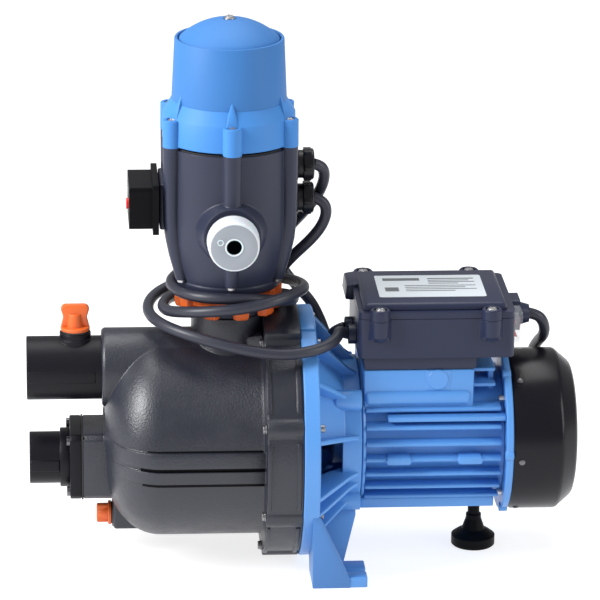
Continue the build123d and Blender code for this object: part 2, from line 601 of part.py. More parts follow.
# ---------------------------------------------------------------- motor
def motor_housing():
    x0, x1 = MOTOR_X
    body = cyl_x(x0, x1, MOTOR_R)
    body += cyl_x(x0, x0 + 3, HUB_R - 3)
    for offset in FIN_OFFSETS:
        reach = math.sqrt(FIN_ENVELOPE_R**2 - offset**2)
        body += box(FIN_X, (-reach, reach), (AXIS_H + offset - FIN_T / 2, AXIS_H + offset + FIN_T / 2))
    body += box((33.0, x1), (-49.0, 49.0), (AXIS_H + 23.3, AXIS_H + 28.0))
    for x in (40.5, 93.0):
        body += box((x - 9.5, x + 9.5), (-58.0, 58.0), (AXIS_H - 7.0, AXIS_H - 1.0))
    body += box(BASE_X, (-BASE_HALF_Y, BASE_HALF_Y), (BASE_BOTTOM, BASE_BOTTOM + 8.5))
    body += box(BASE_X, (-32, 32), (BASE_BOTTOM + 8, AXIS_H - 30))
    body += box((SEAT_X[0] + 1.5, SEAT_X[1] - 2.5), (-45.5, 45.5), (126.5, 135.5))
    body += box(SEAT_X, (-SEAT_HALF_Y, SEAT_HALF_Y), (120.0, SEAT_TOP))
    for z in (136.5, 147.0):
        body += box((SEAT_X[1] - 1, 111.0), (-30.0, 30.0), (z, z + 2.5))
    for side in (-1, 1):
        knockout = cyl_y(*sorted((side * SEAT_HALF_Y, side * (SEAT_HALF_Y + 1.0))), 7.4, 69.5, 144.8)
        body += knockout
    body -= cyl_x(x0 - 1, CORE_X[1] + 4, STATOR_R)
    body -= cyl_x(CORE_X[1] + 3, x1 + 1, STATOR_R - 3)
    seat_hole = ((SEAT_X[0] + 6, SEAT_X[1] - 6), (-SEAT_HALF_Y + 6, SEAT_HALF_Y - 6),
                 (AXIS_H + 40, SEAT_TOP + 1))
    body -= box(*seat_hole)
    body -= cyl_z(BASE_BOTTOM - 1, STEM_TOP + GAP, REAR_STEM_R + FIT, REAR_FOOT_X)
    return body


def stator_core():
    return cyl_x(*CORE_X, STATOR_R - FIT) - cyl_x(*CORE_X, ROTOR_R + AIR_GAP)


def stator_windings():
    rings = []
    for x0, x1 in ((CORE_X[0] - WINDING_LEN, CORE_X[0] - 0.1), (CORE_X[1] + 0.1, CORE_X[1] + WINDING_LEN)):
        ring = cyl_x(x0, x1, STATOR_R - 4) - cyl_x(x0, x1, ROTOR_R + 3)
        rings.append(ring)
    return rings


def rotor_core():
    body = cyl_x(CORE_X[0] + 1, CORE_X[1] - 1, ROTOR_R)
    body += cyl_x(CORE_X[0] - 4, CORE_X[1] + 4, ROTOR_R - 5)
    return body - cyl_x(CORE_X[0] - 5, CORE_X[1] + 5, SHAFT_R)


def shaft():
    body = cyl_x(*SHAFT_X, SHAFT_R)
    return body - box((FAN_X[0], SHAFT_X[1] + 1), (-9, 9), (AXIS_H + 5.4, AXIS_H + 9))


def bearings():
    pair = []
    for x in (FRONT_BEARING_X, REAR_BEARING_X):
        ring = cyl_x(x, x + BEARING_W, BEARING_R - FIT)
        pair.append(ring - cyl_x(x, x + BEARING_W, SHAFT_R + FIT))
    return pair


def rear_shield():
    """Blue end ring that carries the rear bearing."""
    body = cyl_x(*RING_X, RING_R)
    body += cyl_x(REAR_BEARING_X - 2, RING_X[1], BEARING_R + 5)
    body -= cyl_x(REAR_BEARING_X, REAR_BEARING_X + BEARING_W, BEARING_R)
    body -= cyl_x(REAR_BEARING_X - 3, RING_X[1] + 1, SHAFT_R + 3)
    for angle in both_sides((45.0, 135.0)):
        y, z = around_axis(angle, COVER_R - 8)
        body -= cyl_x(RING_X[0], RING_X[1], 2.4, y, z)
    for angle in both_sides((28.0, 90.0, 152.0)):
        y, z = around_axis(angle, RING_R)
        body += cyl_x(RING_X[0], RING_X[1] - 0.3, 3.2, y, z) & cyl_x(*RING_X, RING_R + 1.5)
    return body


def tie_bolts():
    """Four rods that clamp bracket, housing and end ring together."""
    rods = []
    for angle in both_sides((45.0, 135.0)):
        y, z = around_axis(angle, COVER_R - 8)
        rod = cyl_x(RING_X[0] - 4, RING_X[1] + 0.5, 2.4 - FIT, y, z)
        rods.append(rod + cyl_x(RING_X[1] + 0.1, RING_X[1] + 3, 4, y, z))
    return rods


def cooling_fan():
    x0, x1 = FAN_X
    body = cyl_x(x0, x1, 11.0) + cyl_x(x0, x0 + 2, FAN_R - 8)
    for k in range(FAN_BLADES):
        blade = box((x0, x1), (-1.0, 1.0), (9.0, FAN_R))
        body += Pos(0, 0, AXIS_H) * Rot(360 * k / FAN_BLADES, 0, 0) * blade
    bore = cyl_x(x0 - 1, x1 + 1, SHAFT_R)
    return body - (bore - box((x0 - 2, x1 + 2), (-9, 9), (AXIS_H + 5.4, AXIS_H + 9)))


def fan_cover():
    x0, x1 = COVER_X
    points = [(x0, 0), (x0, COVER_R), (COVER_STEP_X, COVER_R), (x1 - 1.5, COVER_END_R),
              (x1, COVER_END_R - 3), (x1, 0)]
    t = COVER_WALL
    inner = [(x0, 0), (x0, COVER_R - t), (COVER_STEP_X - 0.7, COVER_R - t),
             (x1 - 2.2 * t, COVER_END_R - t), (x1 - t - 0.4, COVER_END_R - 4), (x1 - t - 0.4, 0)]
    body = turned_x(points) - turned_x(inner)
    for k in range(COVER_SLOTS):
        slot = box((x1 - 6, x1 + 1), (-1.9, 1.9), (16.0, 42.0))
        body -= Pos(0, 0, AXIS_H) * Rot(360 * k / COVER_SLOTS, 0, 0) * slot
    for angle in both_sides((35.0, 95.0, 150.0)):
        body -= Pos(COVER_X[0] + 6, 0, AXIS_H) * Rot(angle, 0, 0) * cyl_z(50, 62, 2.0)
    return body


def fan_cover_screws():
    screws = []
    for angle in both_sides((35.0, 95.0, 150.0)):
        screw = cyl_z(COVER_R + 0.2, COVER_R + 1.8, 3.2) + cyl_z(COVER_R - 6, COVER_R + 0.4, 2.0 - FIT)
        screws.append(Pos(COVER_X[0] + 6, 0, AXIS_H) * Rot(angle, 0, 0) * screw)
    return screws


# ---------------------------------------------------------------- terminal box
def terminal_box():
    x0, x1 = BOX_X
    y = (-BOX_HALF_Y, BOX_HALF_Y)
    body = upright_round(BOX_X, y, BOX_Z, 5.0)
    t = BOX_WALL
    adapter = upright_round((SEAT_X[0], SEAT_X[1] + 1), (-SEAT_HALF_Y, SEAT_HALF_Y),
                            (SEAT_TOP + 0.1, BOX_Z[0] + 1), 3.0)
    body += adapter
    for x, yy in LID_SCREWS:
        body += cyl_z(LID_SCREW_Z0, BOX_Z[1], LID_BOSS_R, x, math.copysign(BOX_HALF_Y - 1, yy))
    body -= box((x0 + t, x1 - t), (y[0] + t, y[1] - t), (BOX_Z[0] + t, BOX_Z[1] + 1))
    body -= box((SEAT_X[0] + 12, SEAT_X[1] - 12), (-30, 30), (SEAT_TOP, BOX_Z[0] + t + 1))
    for x, yy in LID_SCREWS:
        post_y = math.copysign(BOX_HALF_Y - 1, yy)
        body += cyl_z(LID_SCREW_Z0, BOX_Z[1], 3.4, x, post_y + math.copysign(0.5, yy))
        body -= cyl_z(LID_SCREW_Z0 + 3, BOX_Z[1] + 1, 1.6, x, yy)
    for at in BOX_GLANDS:
        body -= cyl_x(x0 - 1, x0 + t + 1, CABLE_R, *at)
    body -= box((x1 - t - 1, x1 + 1), (SWITCH_Y[0] + 3, SWITCH_Y[1] - 3),
                (SWITCH_Z[0] + 5, SWITCH_Z[1] - 5))
    mid = (LEAD_BLOCK_Y[0] + LEAD_BLOCK_Y[1]) / 2
    body -= cyl_x(x1 - t - 1, x1 + 1, CABLE_R + 1.5, mid, LEAD_Z)
    return body


def lid():
    y = (-BOX_HALF_Y, BOX_HALF_Y)
    z0, z1 = BOX_Z[1] + 0.15, LID_TOP
    body = upright_round(BOX_X, y, (z0, z1), 5.0)
    for x, yy in LID_SCREWS:
        body += cyl_z(z0, z1, LID_BOSS_R, x, math.copysign(BOX_HALF_Y - 1, yy))
    panel = upright_round(PANEL_X, (-PANEL_HALF_Y, PANEL_HALF_Y), (z0, PANEL_TOP), 4.0)
    body += panel
    body -= box((PANEL_X[0] + 3, PANEL_X[1] - 3), (3 - PANEL_HALF_Y, PANEL_HALF_Y - 3),
                (z0 - 1, PANEL_TOP - 2.5))
    for x, yy in LID_SCREWS:
        body -= cyl_z(z0 - 1, z1 + 1, 2.3, x, yy)
    return body


def lid_screws():
    screws = []
    for x, yy in LID_SCREWS:
        shank = cyl_z(BOX_Z[1] - 6, LID_TOP + 1, 1.6 - FIT, x, yy)
        screws.append(shank + cyl_z(LID_TOP + 0.1, LID_TOP + 3.6, 4.3, x, yy))
    return screws


def lid_label():
    sheet = upright_round((27.5, 105.5), (-25.5, 24.5), (PANEL_TOP + 0.05, PANEL_TOP + 0.35), 2.0)
    return sheet


def box_glands():
    """Two glands with flared mouths on the box's pump side."""
    made = []
    for y, z in BOX_GLANDS:
        x0, x1 = BOX_GLAND_X0, BOX_X[0] - 0.1
        mouth = [(x0 - 0.5, 0), (x0 - 0.5, BOX_GLAND_R - 0.7), (x1 - 1.5, CABLE_R + GAP),
                 (x1 + 1, CABLE_R + GAP), (x1 + 1, 0)]
        made.append(cyl_x(x0, x1, BOX_GLAND_R, y, z) - turned_x(mouth, z, y))
    return made


def switch_frame():
    """Frame with a clear cover over the mains rocker."""
    x0 = BOX_X[1] + 0.1
    block = box((x0, x0 + SWITCH_DEPTH), SWITCH_Y, SWITCH_Z)
    block = fillet(block.edges().filter_by(Axis.X), 2.5)
    cut = box((x0 - 1, x0 + SWITCH_DEPTH - 1.2), (SWITCH_Y[0] + 3, SWITCH_Y[1] - 3),
              (SWITCH_Z[0] + 5, SWITCH_Z[1] - 5))
    return block - cut


def switch_body():
    """Case of the rocker switch, inside the terminal box."""
    y = (SWITCH_Y[0] + 3.3, SWITCH_Y[1] - 3.3)
    z = (SWITCH_Z[0] + 5.3, SWITCH_Z[1] - 5.3)
    block = box((BOX_X[1] - 18, BOX_X[1] + 0.5), y, z)
    return block - box((BOX_X[1] - 9, BOX_X[1] + 1), (y[0] + 1, y[1] - 1), (z[0] + 1, z[1] - 1))


def switch_rocker():
    """Tilting key, turning about a Y axis inside its case."""
    y = (SWITCH_Y[0] + 4.6, SWITCH_Y[1] - 4.6)
    mid = (SWITCH_Z[0] + SWITCH_Z[1]) / 2
    side = Polyline((0, -4), (5.6, -6.6), (4.2, 0), (5.6, 6.6), (0, 4), (-3.5, 0), close=True)
    key = extrude(make_face(Plane.XZ * side), (y[1] - y[0]) / 2, both=True)
    return Pos(BOX_X[1] - 2.5, (y[0] + y[1]) / 2, mid) * Rot(0, -ROCKER_TILT, 0) * key


def lead_block():
    """Moulded block that leads the mains cable out of the box."""
    x0 = BOX_X[1] + 0.1
    mid = (LEAD_BLOCK_Y[0] + LEAD_BLOCK_Y[1]) / 2
    block = box((x0, x0 + 9), LEAD_BLOCK_Y, LEAD_BLOCK_Z)
    block = fillet(block.edges().filter_by(Axis.X), 3.0)
    cone = turned_x([(x0 + 8, 0), (x0 + 8, 9.0), (LEAD_BLOCK_X1, 6.6), (LEAD_BLOCK_X1, 0)],
                    z=LEAD_Z, y=mid)
    return block + cone - cyl_x(x0 - 1, LEAD_BLOCK_X1 + 1, CABLE_R + GAP, mid, LEAD_Z)


def capacitor():
    return cyl_x(20.0, 72.0, 13.0, 20.0, BOX_Z[0] + BOX_WALL + 13.2)


def terminal_block():
    block = box((28.0, 68.0), (-22.0, -8.0), (BOX_Z[0] + BOX_WALL, BOX_Z[0] + BOX_WALL + 14))
    for k in range(4):
        block -= cyl_z(BOX_Z[0] + BOX_WALL + 6, BOX_Z[1], 2.2, 33.0 + 10 * k, -15.0)
    return block


# ---------------------------------------------------------------- pressure controller
def ring_nut():
    """Lugged ring nut that clamps the controller to the neck."""
    z0, z1 = NUT_Z
    ring = cyl_z(z0, z1, NUT_R, NECK_X)
    ring += cyl_z(z0 + 10, z1 - 6, NUT_R + 2.6, NECK_X)
    for k in range(NUT_LUGS):
        lug = box((NUT_R - 3, NUT_LUG_R), (-4.2, 4.2), (z0 + 1.5, z1 - 7))
        ring += Pos(NECK_X, 0, 0) * Rot(0, 0, 360 * k / NUT_LUGS + 18) * lug
    return ring - cyl_z(z0 - 1, z1 + 1, NECK_R + 1 + FIT, NECK_X)


def controller_body():
    """Lower housing: waisted bowl with columns, side outlet and gland bosses."""
    body = turned_z([(0, BODY_BOTTOM_Z), (BODY_BOTTOM_R, BODY_BOTTOM_Z), (BODY_BOTTOM_R + 0.6, 220),
                     (BODY_R - 4.5, 233), (BODY_R - 1.2, 240), (BODY_R, BODY_WAIST_Z + 3),
                     (BODY_R, BODY_TOP), (0, BODY_TOP)], NECK_X)
    for k in range(6):
        x, y = at_controller(60 * k, COLUMN_PCD_R - 0.5)
        column = turned_z([(0, 244), (COLUMN_R - 0.6, 244), (COLUMN_R, CAP_BOSS_BOTTOM - 0.2),
                           (0, CAP_BOSS_BOTTOM - 0.2)], x, y)
        x, y = at_controller(60 * k, COLUMN_PCD_R - 8.5)
        column += turned_z([(0, COLUMN_BOTTOM + 4), (4.0, COLUMN_BOTTOM + 4), (4.6, 244), (0, 244)], x, y)
        body += column
    body += cyl_y(OUTLET_COLLAR_Y, 0, OUTLET_COLLAR_R, NECK_X, OUTLET_Z)
    body += cyl_y(OUTLET_Y, 0, OUTLET_THREAD_R, NECK_X, OUTLET_Z)
    for z in GLAND_Z:
        body += cyl_x(NECK_X, GLAND_X1 - 12.4, GLAND_R + 1.0, z=z)
    body += box((-132.0, NECK_X), (-PANEL_BOX_HALF_Y + 3, PANEL_BOX_HALF_Y - 3), PANEL_BOX_Z)
    body += cyl_z(NUT_Z[0], BODY_BOTTOM_Z + 1, NECK_R + 1, NECK_X)
    body += cyl_z(BODY_BOTTOM_Z - 0.5, BODY_BOTTOM_Z + 1, NUT_R + 2, NECK_X)

    flow_r = NECK_R - 8
    body -= cyl_z(NECK_TOP - 1, OUTLET_Z, flow_r, NECK_X)
    body -= cyl_y(OUTLET_Y - 1, 0, OUTLET_THREAD_R - 3.0, NECK_X, OUTLET_Z)
    body -= cyl_z(OUTLET_Z - 1, DIAPHRAGM_Z - 4, flow_r + 3, NECK_X)
    body -= cyl_z(DIAPHRAGM_Z - 4.1, DIAPHRAGM_Z, BODY_R - BODY_WALL - 6, NECK_X)
    body -= cyl_z(DIAPHRAGM_Z, BODY_TOP + 1, BODY_R - BODY_WALL, NECK_X)
    body -= box((-133.0, -120.0), (-14, 14), (262, 280))
    for k in range(6):
        x, y = at_controller(60 * k, COLUMN_PCD_R)
        body -= cyl_z(STUD_FOOT, BODY_TOP + 1, STUD_R, x, y)
    return body


def controller_cap():
    """Upper housing: cup with a flared skirt on six bosses."""
    profile = [(0, CAP_SKIRT_Z - 18), (BODY_R + 0.6, CAP_SKIRT_Z - 18), (BODY_R + 0.9, CAP_SKIRT_Z),
               (CAP_CUP_R + 4.0, CAP_CUP_Z - 7), (CAP_CUP_R + 1.0, CAP_CUP_Z - 3),
               (CAP_CUP_R, CAP_CUP_Z), (CAP_RIM_R, CAP_RIM_Z), (0, CAP_RIM_Z)]
    body = turned_z(profile, NECK_X)
    for k in range(6):
        x, y = at_controller(60 * k, COLUMN_PCD_R)
        body += turned_z([(0, CAP_BOSS_BOTTOM + 5), (COLUMN_R + 0.4, CAP_BOSS_BOTTOM + 5),
                          (COLUMN_R + 0.4, CAP_BOSS_TOP), (0, CAP_BOSS_TOP)], x, y)
        rib = Polyline((38, CAP_BOSS_TOP - 1), (50, CAP_BOSS_TOP - 1), (38, CAP_CUP_Z + 13), close=True)
        rib = extrude(make_face(Plane.XZ * rib), 1.6, both=True)
        body += Pos(NECK_X, 0, 0) * Rot(0, 0, 60 * k - 90) * rib
    t = CAP_WALL
    body -= turned_z([(0, CAP_SKIRT_Z - 19), (BODY_R - t, CAP_SKIRT_Z - 19), (BODY_R - t, CAP_SKIRT_Z - 4),
                      (CAP_CUP_R - t, CAP_CUP_Z - 4), (CAP_RIM_R - t - 1, CAP_RIM_Z - 9),
                      (0, CAP_RIM_Z - 9)], NECK_X)
    for k in range(6):
        x, y = at_controller(60 * k, COLUMN_PCD_R)
        body -= cyl_z(CAP_BOSS_BOTTOM, CAP_BOSS_TOP - 5, STUD_R, x, y)
    body -= cyl_z(CAP_RIM_Z - 10, CAP_RIM_Z, 2.3, NECK_X)
    return body - cyl_z(CAP_RIM_Z - 5, CAP_RIM_Z + 1, CAP_RIM_R - t, NECK_X)


def cap_dome():
    """Low cone closing the cup, with its screw."""
    r = CAP_RIM_R - CAP_WALL - GAP
    top = turned_z([(0, CAP_RIM_Z - 4.9), (r, CAP_RIM_Z - 4.9), (r, CAP_RIM_Z - 1.5),
                    (r - 2, CAP_RIM_Z + 0.8), (14, DOME_TOP - 1.5), (6, DOME_TOP), (0, DOME_TOP)], NECK_X)
    return top - cyl_z(CAP_RIM_Z - 6, DOME_TOP + 1, 2.3, NECK_X)


def dome_screw():
    head = cyl_z(DOME_TOP + 0.05, DOME_TOP + 2.4, 4.2, NECK_X)
    return head + cyl_z(CAP_RIM_Z - 12, DOME_TOP + 0.2, 2.3 - FIT, NECK_X) - cross_recess()


def cross_recess():
    z = (DOME_TOP + 1.2, DOME_TOP + 3)
    cross = box((NECK_X - 2.4, NECK_X + 2.4), (-0.5, 0.5), z)
    return cross + box((NECK_X - 0.5, NECK_X + 0.5), (-2.4, 2.4), z)


def body_gasket():
    """Seal between the two housings."""
    z = (BODY_TOP + 0.05, CAP_SKIRT_Z - 18.05)
    return cyl_z(*z, BODY_R - 1.4, NECK_X) - cyl_z(*z, BODY_R - BODY_WALL + 0.2, NECK_X)


def controller_screws():
    """Studs that hold the two housings together."""
    screws = []
    for k in range(6):
        x, y = at_controller(60 * k, COLUMN_PCD_R)
        screws.append(cyl_z(STUD_FOOT + 0.1, CAP_BOSS_TOP - 5.1, STUD_R - FIT, x, y))
    return screws


def outlet_cap():
    """Translucent closure pushed over the outlet thread."""
    r0, r1 = CAP_R
    body = Pos(NECK_X, 0, OUTLET_Z) * Rot(90, 0, 0) * turned_z(
        [(0, 64), (r0, 64), (r1, -CAP_FACE_Y), (0, -CAP_FACE_Y)])
    body -= cyl_y(OUTLET_Y, -63, OUTLET_THREAD_R + GAP, NECK_X, OUTLET_Z)
    body -= cyl_y(CAP_FACE_Y - 1, OUTLET_Y + 1, 5.8, NECK_X, OUTLET_Z)
    return body


def panel_box():
    """Side housing with the lamps and the restart button."""
    x0, x1 = PANEL_BOX_X
    body = box((x0, x1 + 0.5), (-PANEL_BOX_HALF_Y, PANEL_BOX_HALF_Y), PANEL_BOX_Z)
    body = fillet(body.edges().filter_by(Axis.X), 4.0)
    base = box((x1, x1 + 4.3), (-PANEL_BASE_HALF_Y, PANEL_BASE_HALF_Y), PANEL_BASE_Z)
    body += fillet(base.edges().filter_by(Axis.X), 4.0)
    body -= box((x0 + 2.5, x1 + 5), (3 - PANEL_BOX_HALF_Y, PANEL_BOX_HALF_Y - 3),
                (PANEL_BOX_Z[0] + 3, PANEL_BOX_Z[1] - 3))
    return body - cyl_x(x0 - 1, x0 + 3, BUTTON_R + FIT, BUTTON_Y, PANEL_MID_Z)


def restart_button():
    x0 = PANEL_BOX_X[0]
    return cyl_x(x0 - 1.8, x0 + 2.6, BUTTON_R, BUTTON_Y, PANEL_MID_Z) + cyl_x(
        x0 + 2.6, x0 + 4.2, BUTTON_R + 1.5, BUTTON_Y, PANEL_MID_Z)


def lamps():
    lenses = []
    for k in range(3):
        y = 14.0 - 9.0 * k
        lenses.append(cyl_x(PANEL_BOX_X[0] - 0.9, PANEL_BOX_X[0] - 0.05, 2.2, y, PANEL_MID_Z + 8))
    return lenses


def controller_glands():
    made = []
    for z in GLAND_Z:
        body = cyl_x(GLAND_X1 - 12.3, GLAND_X1 - 3, GLAND_R, z=z)
        body += turned_x([(GLAND_X1 - 3.1, 0), (GLAND_X1 - 3.1, GLAND_R - 1), (GLAND_X1, GLAND_R - 4),
                          (GLAND_X1, 0)], z=z)
        made.append(body - cyl_x(GLAND_X1 - 13, GLAND_X1 + 1, CABLE_R + GAP, z=z))
    return made


def diaphragm():
    z = DIAPHRAGM_Z
    return cyl_z(z + 0.1, z + 1.6, BODY_R - BODY_WALL - 1, NECK_X) + cyl_z(z + 1.5, z + 4, 14, NECK_X)


def diaphragm_spring():
    """Close-wound spring, made as its sleeve."""
    z = DIAPHRAGM_Z + 4.1
    return cyl_z(z, z + 30, 11.0, NECK_X) - cyl_z(z, z + 30, 8.8, NECK_X)


def flow_valve():
    """Float that lifts with the flow and closes when it stops."""
    r = NECK_R - 8 - 0.6
    body = turned_z([(0, 214), (r, 214), (r, 219), (6, 225), (3.0, 226), (3.0, 240), (0, 240)], NECK_X)
    return body


def circuit_board():
    z = CAP_RIM_Z - 22
    board = cyl_z(z, z + 1.6, CAP_RIM_R - CAP_WALL - 3, NECK_X)
    return board + box((NECK_X - 14, NECK_X + 4), (-9, 9), (z - 13, z + 0.1))


# ---------------------------------------------------------------- mains lead
def lead_coil():
    """Outer shape of the neat coil that the rest of the mains lead lies in."""
    x, y = COIL_AT
    r = COIL_TURN_R
    ring = cyl_z(GAP, 2 * COIL_HALF, r + COIL_HALF, x, y)
    return ring - cyl_z(-1, 40, r - COIL_HALF, x, y)


def mains_plug():
    """Plain two-pole plug lying on the coil, with a tapered sleeve at the cable."""
    sleeve = turned_x([(-1.2, 0), (-1.2, 5.4), (-24, 8.4), (-24, 0)], z=0)
    shell = turned_x([(-23.5, 0), (-23.5, 13.0), (-34, PLUG_R - 1), (-49, PLUG_R), (-52, PLUG_R),
                      (-52, 0)], z=0)
    pins = cyl_x(-71, -51, 2.4, -9.5, 0) + cyl_x(-71, -51, 2.4, 9.5, 0)
    return Location(PLUG_FROM) * Rot(0, 0, PLUG_TURN) * (sleeve + shell + pins)



os.makedirs("parts", exist_ok=True)
save("pump_casing", casing())
save("inlet_adapter", inlet_adapter())
save("inlet_screws", *inlet_screws())
save("check_valve", check_valve())
save("ejector", ejector())
save("diffuser", diffuser())
save("impeller", impeller())
save("seal_plate", seal_plate())
save("mechanical_seal", mechanical_seal())
save("water_seals", casing_seal(), inlet_gasket(), body_gasket())
save("casing_bolts", *casing_bolts())
save("fill_plug", fill_plug())
save("fill_seal", fill_seal())
save("drain_plug", drain_plug())
save("drain_seal", drain_seal())
save("bracket", bracket())
save("rear_foot", rear_foot())
save("foot_stem", foot_stem())
save("motor_housing", motor_housing())
save("stator_core", stator_core())
save("stator_windings", *stator_windings())
save("rotor_core", rotor_core())
save("shaft", shaft())
save("bearings", *bearings())
save("rear_shield", rear_shield())
save("tie_bolts", *tie_bolts())
save("cooling_fan", cooling_fan())
save("fan_cover", fan_cover())
save("fan_cover_screws", *fan_cover_screws())
save("terminal_box", terminal_box())
save("lid", lid())
save("lid_label", lid_label())
save("lid_screws", *lid_screws())
save("box_glands", *box_glands())
save("switch_frame", switch_frame())
save("switch_body", switch_body())
save("switch_rocker", switch_rocker())
save("lead_block", lead_block())
save("capacitor", capacitor())
save("terminal_block", terminal_block())
save("ring_nut", ring_nut())
save("controller_body", controller_body())
save("controller_cap", controller_cap())
save("cap_dome", cap_dome())
save("dome_screw", dome_screw())
save("controller_screws", *controller_screws())
save("outlet_cap", outlet_cap())
save("panel_box", panel_box())
save("restart_button", restart_button())
save("lamps", *lamps())
save("controller_glands", *controller_glands())
save("diaphragm", diaphragm())
save("diaphragm_spring", diaphragm_spring())
save("flow_valve", flow_valve())
save("circuit_board", circuit_board())
save("control_cable", cable_tube(CONTROL_ROUTE, "control cable"))
save("feed_cable", cable_tube(FEED_ROUTE, "feed cable"))
save("mains_lead", cable_tube(LEAD_ROUTE, "mains lead"), cable_tube(TAIL_ROUTE, "lead tail"))
save("lead_coil", lead_coil())
save("mains_plug", mains_plug())
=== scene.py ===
import json
import math

import bmesh
import bpy
from mathutils import Matrix, Vector


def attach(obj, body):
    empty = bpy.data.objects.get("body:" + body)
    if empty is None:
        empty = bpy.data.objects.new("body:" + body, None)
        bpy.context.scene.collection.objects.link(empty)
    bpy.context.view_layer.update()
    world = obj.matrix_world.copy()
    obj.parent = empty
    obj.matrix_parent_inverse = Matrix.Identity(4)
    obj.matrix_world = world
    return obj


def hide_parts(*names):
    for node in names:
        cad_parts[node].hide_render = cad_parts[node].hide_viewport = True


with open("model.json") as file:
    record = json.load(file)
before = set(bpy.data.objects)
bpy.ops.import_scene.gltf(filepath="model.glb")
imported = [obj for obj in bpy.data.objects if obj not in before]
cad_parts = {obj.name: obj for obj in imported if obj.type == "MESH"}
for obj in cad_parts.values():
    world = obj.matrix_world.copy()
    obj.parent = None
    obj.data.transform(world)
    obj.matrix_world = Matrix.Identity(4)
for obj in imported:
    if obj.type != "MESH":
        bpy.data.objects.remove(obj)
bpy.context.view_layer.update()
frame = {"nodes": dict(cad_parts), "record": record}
nodes = frame["nodes"]


def mm(*place):
    """A place given in millimetres, in metres."""
    return Vector(place) * 0.001


# ---------------------------------------------------------------- camera and room
AIM = mm(-28.45, 0, 192.8)
DISTANCE = 2.8008
TURN, RISE, ROLL = 0.0728, 0.3205, 0.0116
LENS, SENSOR = 230.45, 36

ahead = Vector((math.sin(TURN) * math.cos(RISE), math.cos(TURN) * math.cos(RISE), -math.sin(RISE)))
right = Vector((math.cos(TURN), -math.sin(TURN), 0))
up = right.cross(ahead)
right, up = (right * math.cos(ROLL) + up * math.sin(ROLL), up * math.cos(ROLL) - right * math.sin(ROLL))
camera = bpy.data.objects.new("camera", bpy.data.cameras.new("camera"))
camera.data.lens = LENS
camera.data.sensor_width = SENSOR
camera.data.clip_end = 30
camera.matrix_world = Matrix((right, up, -ahead)).transposed().to_4x4()
camera.location = AIM - ahead * DISTANCE
bpy.context.collection.objects.link(camera)
bpy.context.scene.camera = camera
bpy.context.scene.view_settings.view_transform = "Standard"

world = bpy.data.worlds.new("studio")
world.use_nodes = True
world.node_tree.nodes["Background"].inputs["Color"].default_value = (1, 1, 1, 1)
world.node_tree.nodes["Background"].inputs["Strength"].default_value = 0.40
bpy.context.scene.world = world


def softbox(name, place, aim, size, power):
    """A square area light at a place, facing another place."""
    light = bpy.data.objects.new(name, bpy.data.lights.new(name, "AREA"))
    light.data.shape = "RECTANGLE"
    light.data.size, light.data.size_y = size
    light.data.energy = power
    light.location = place
    light.rotation_euler = (Vector(aim) - Vector(place)).to_track_quat("-Z", "Y").to_euler()
    bpy.context.collection.objects.link(light)


softbox("top_softbox", (-0.1, 0.35, 1.5), (0, 0, 0.2), (1.3, 0.9), 15)
softbox("left_softbox", (-1.35, -0.48, 1.02), (-0.05, 0, 0.15), (0.5, 0.9), 36)
softbox("right_softbox", (1.4, -0.7, 0.8), (0.05, 0, 0.15), (0.45, 1.2), 11)


# ---------------------------------------------------------------- finishes
class Finish:
    """One material, built on a Principled shader."""

    def __init__(self, name, colour, rough=0.45, metal=0.0, edge=0.0, **sockets):
        self.material = bpy.data.materials.new(name)
        self.material.use_nodes = True
        self.nodes = self.material.node_tree.nodes
        self.links = self.material.node_tree.links
        self.shader = self.nodes["Principled BSDF"]
        self.set("Base Color", (*colour, 1))
        self.set("Roughness", rough)
        self.set("Metallic", metal)
        for socket, value in sockets.items():
            self.set(socket.replace("_", " "), value)
        self.round = None
        if edge:
            self.round = self.node("ShaderNodeBevel", {"samples": 4}, {"Radius": edge * 0.001}, "Normal")
            self.set("Normal", self.round)

    def node(self, kind, settings, values, output=0):
        """A new shader node with its settings and its sockets' values or links, as one output."""
        made = self.nodes.new(kind)
        for key, value in settings.items():
            setattr(made, key, value)
        for key, value in values.items():
            self.join(made.inputs[key], value)
        return made.outputs[output]

    def join(self, socket, value):
        """Links a socket to another one, or gives it a plain value."""
        if isinstance(value, bpy.types.NodeSocket):
            self.links.new(value, socket)
        else:
            socket.default_value = value

    def set(self, socket, value):
        self.join(self.shader.inputs[socket], value)

    def place(self):
        return self.node("ShaderNodeTexCoord", {}, {}, "Object")

    def noise(self, scale, detail=3.0, rough=0.6):
        return self.node("ShaderNodeTexNoise", {}, {"Vector": self.place(), "Scale": scale, "Detail": detail,
                                                    "Roughness": rough}, "Fac")

    def remap(self, value, low, high, to_low, to_high):
        return self.node("ShaderNodeMapRange", {}, {"Value": value, "From Min": low, "From Max": high,
                                                    "To Min": to_low, "To Max": to_high}, "Result")

    def grain(self, scale, depth_mm, strength=1.0):
        """A fine moulded or cast texture."""
        bump = {"Height": self.noise(scale), "Strength": strength, "Distance": depth_mm * 0.001}
        if self.round:
            bump["Normal"] = self.round
        self.set("Normal", self.node("ShaderNodeBump", {}, bump, "Normal"))
        return self

    def mottle(self, scale, spread, rough):
        """Roughness that varies a little over the surface."""
        self.set("Roughness", self.remap(self.noise(scale, 4.0), 0.35, 0.65, rough - spread, rough + spread))
        return self


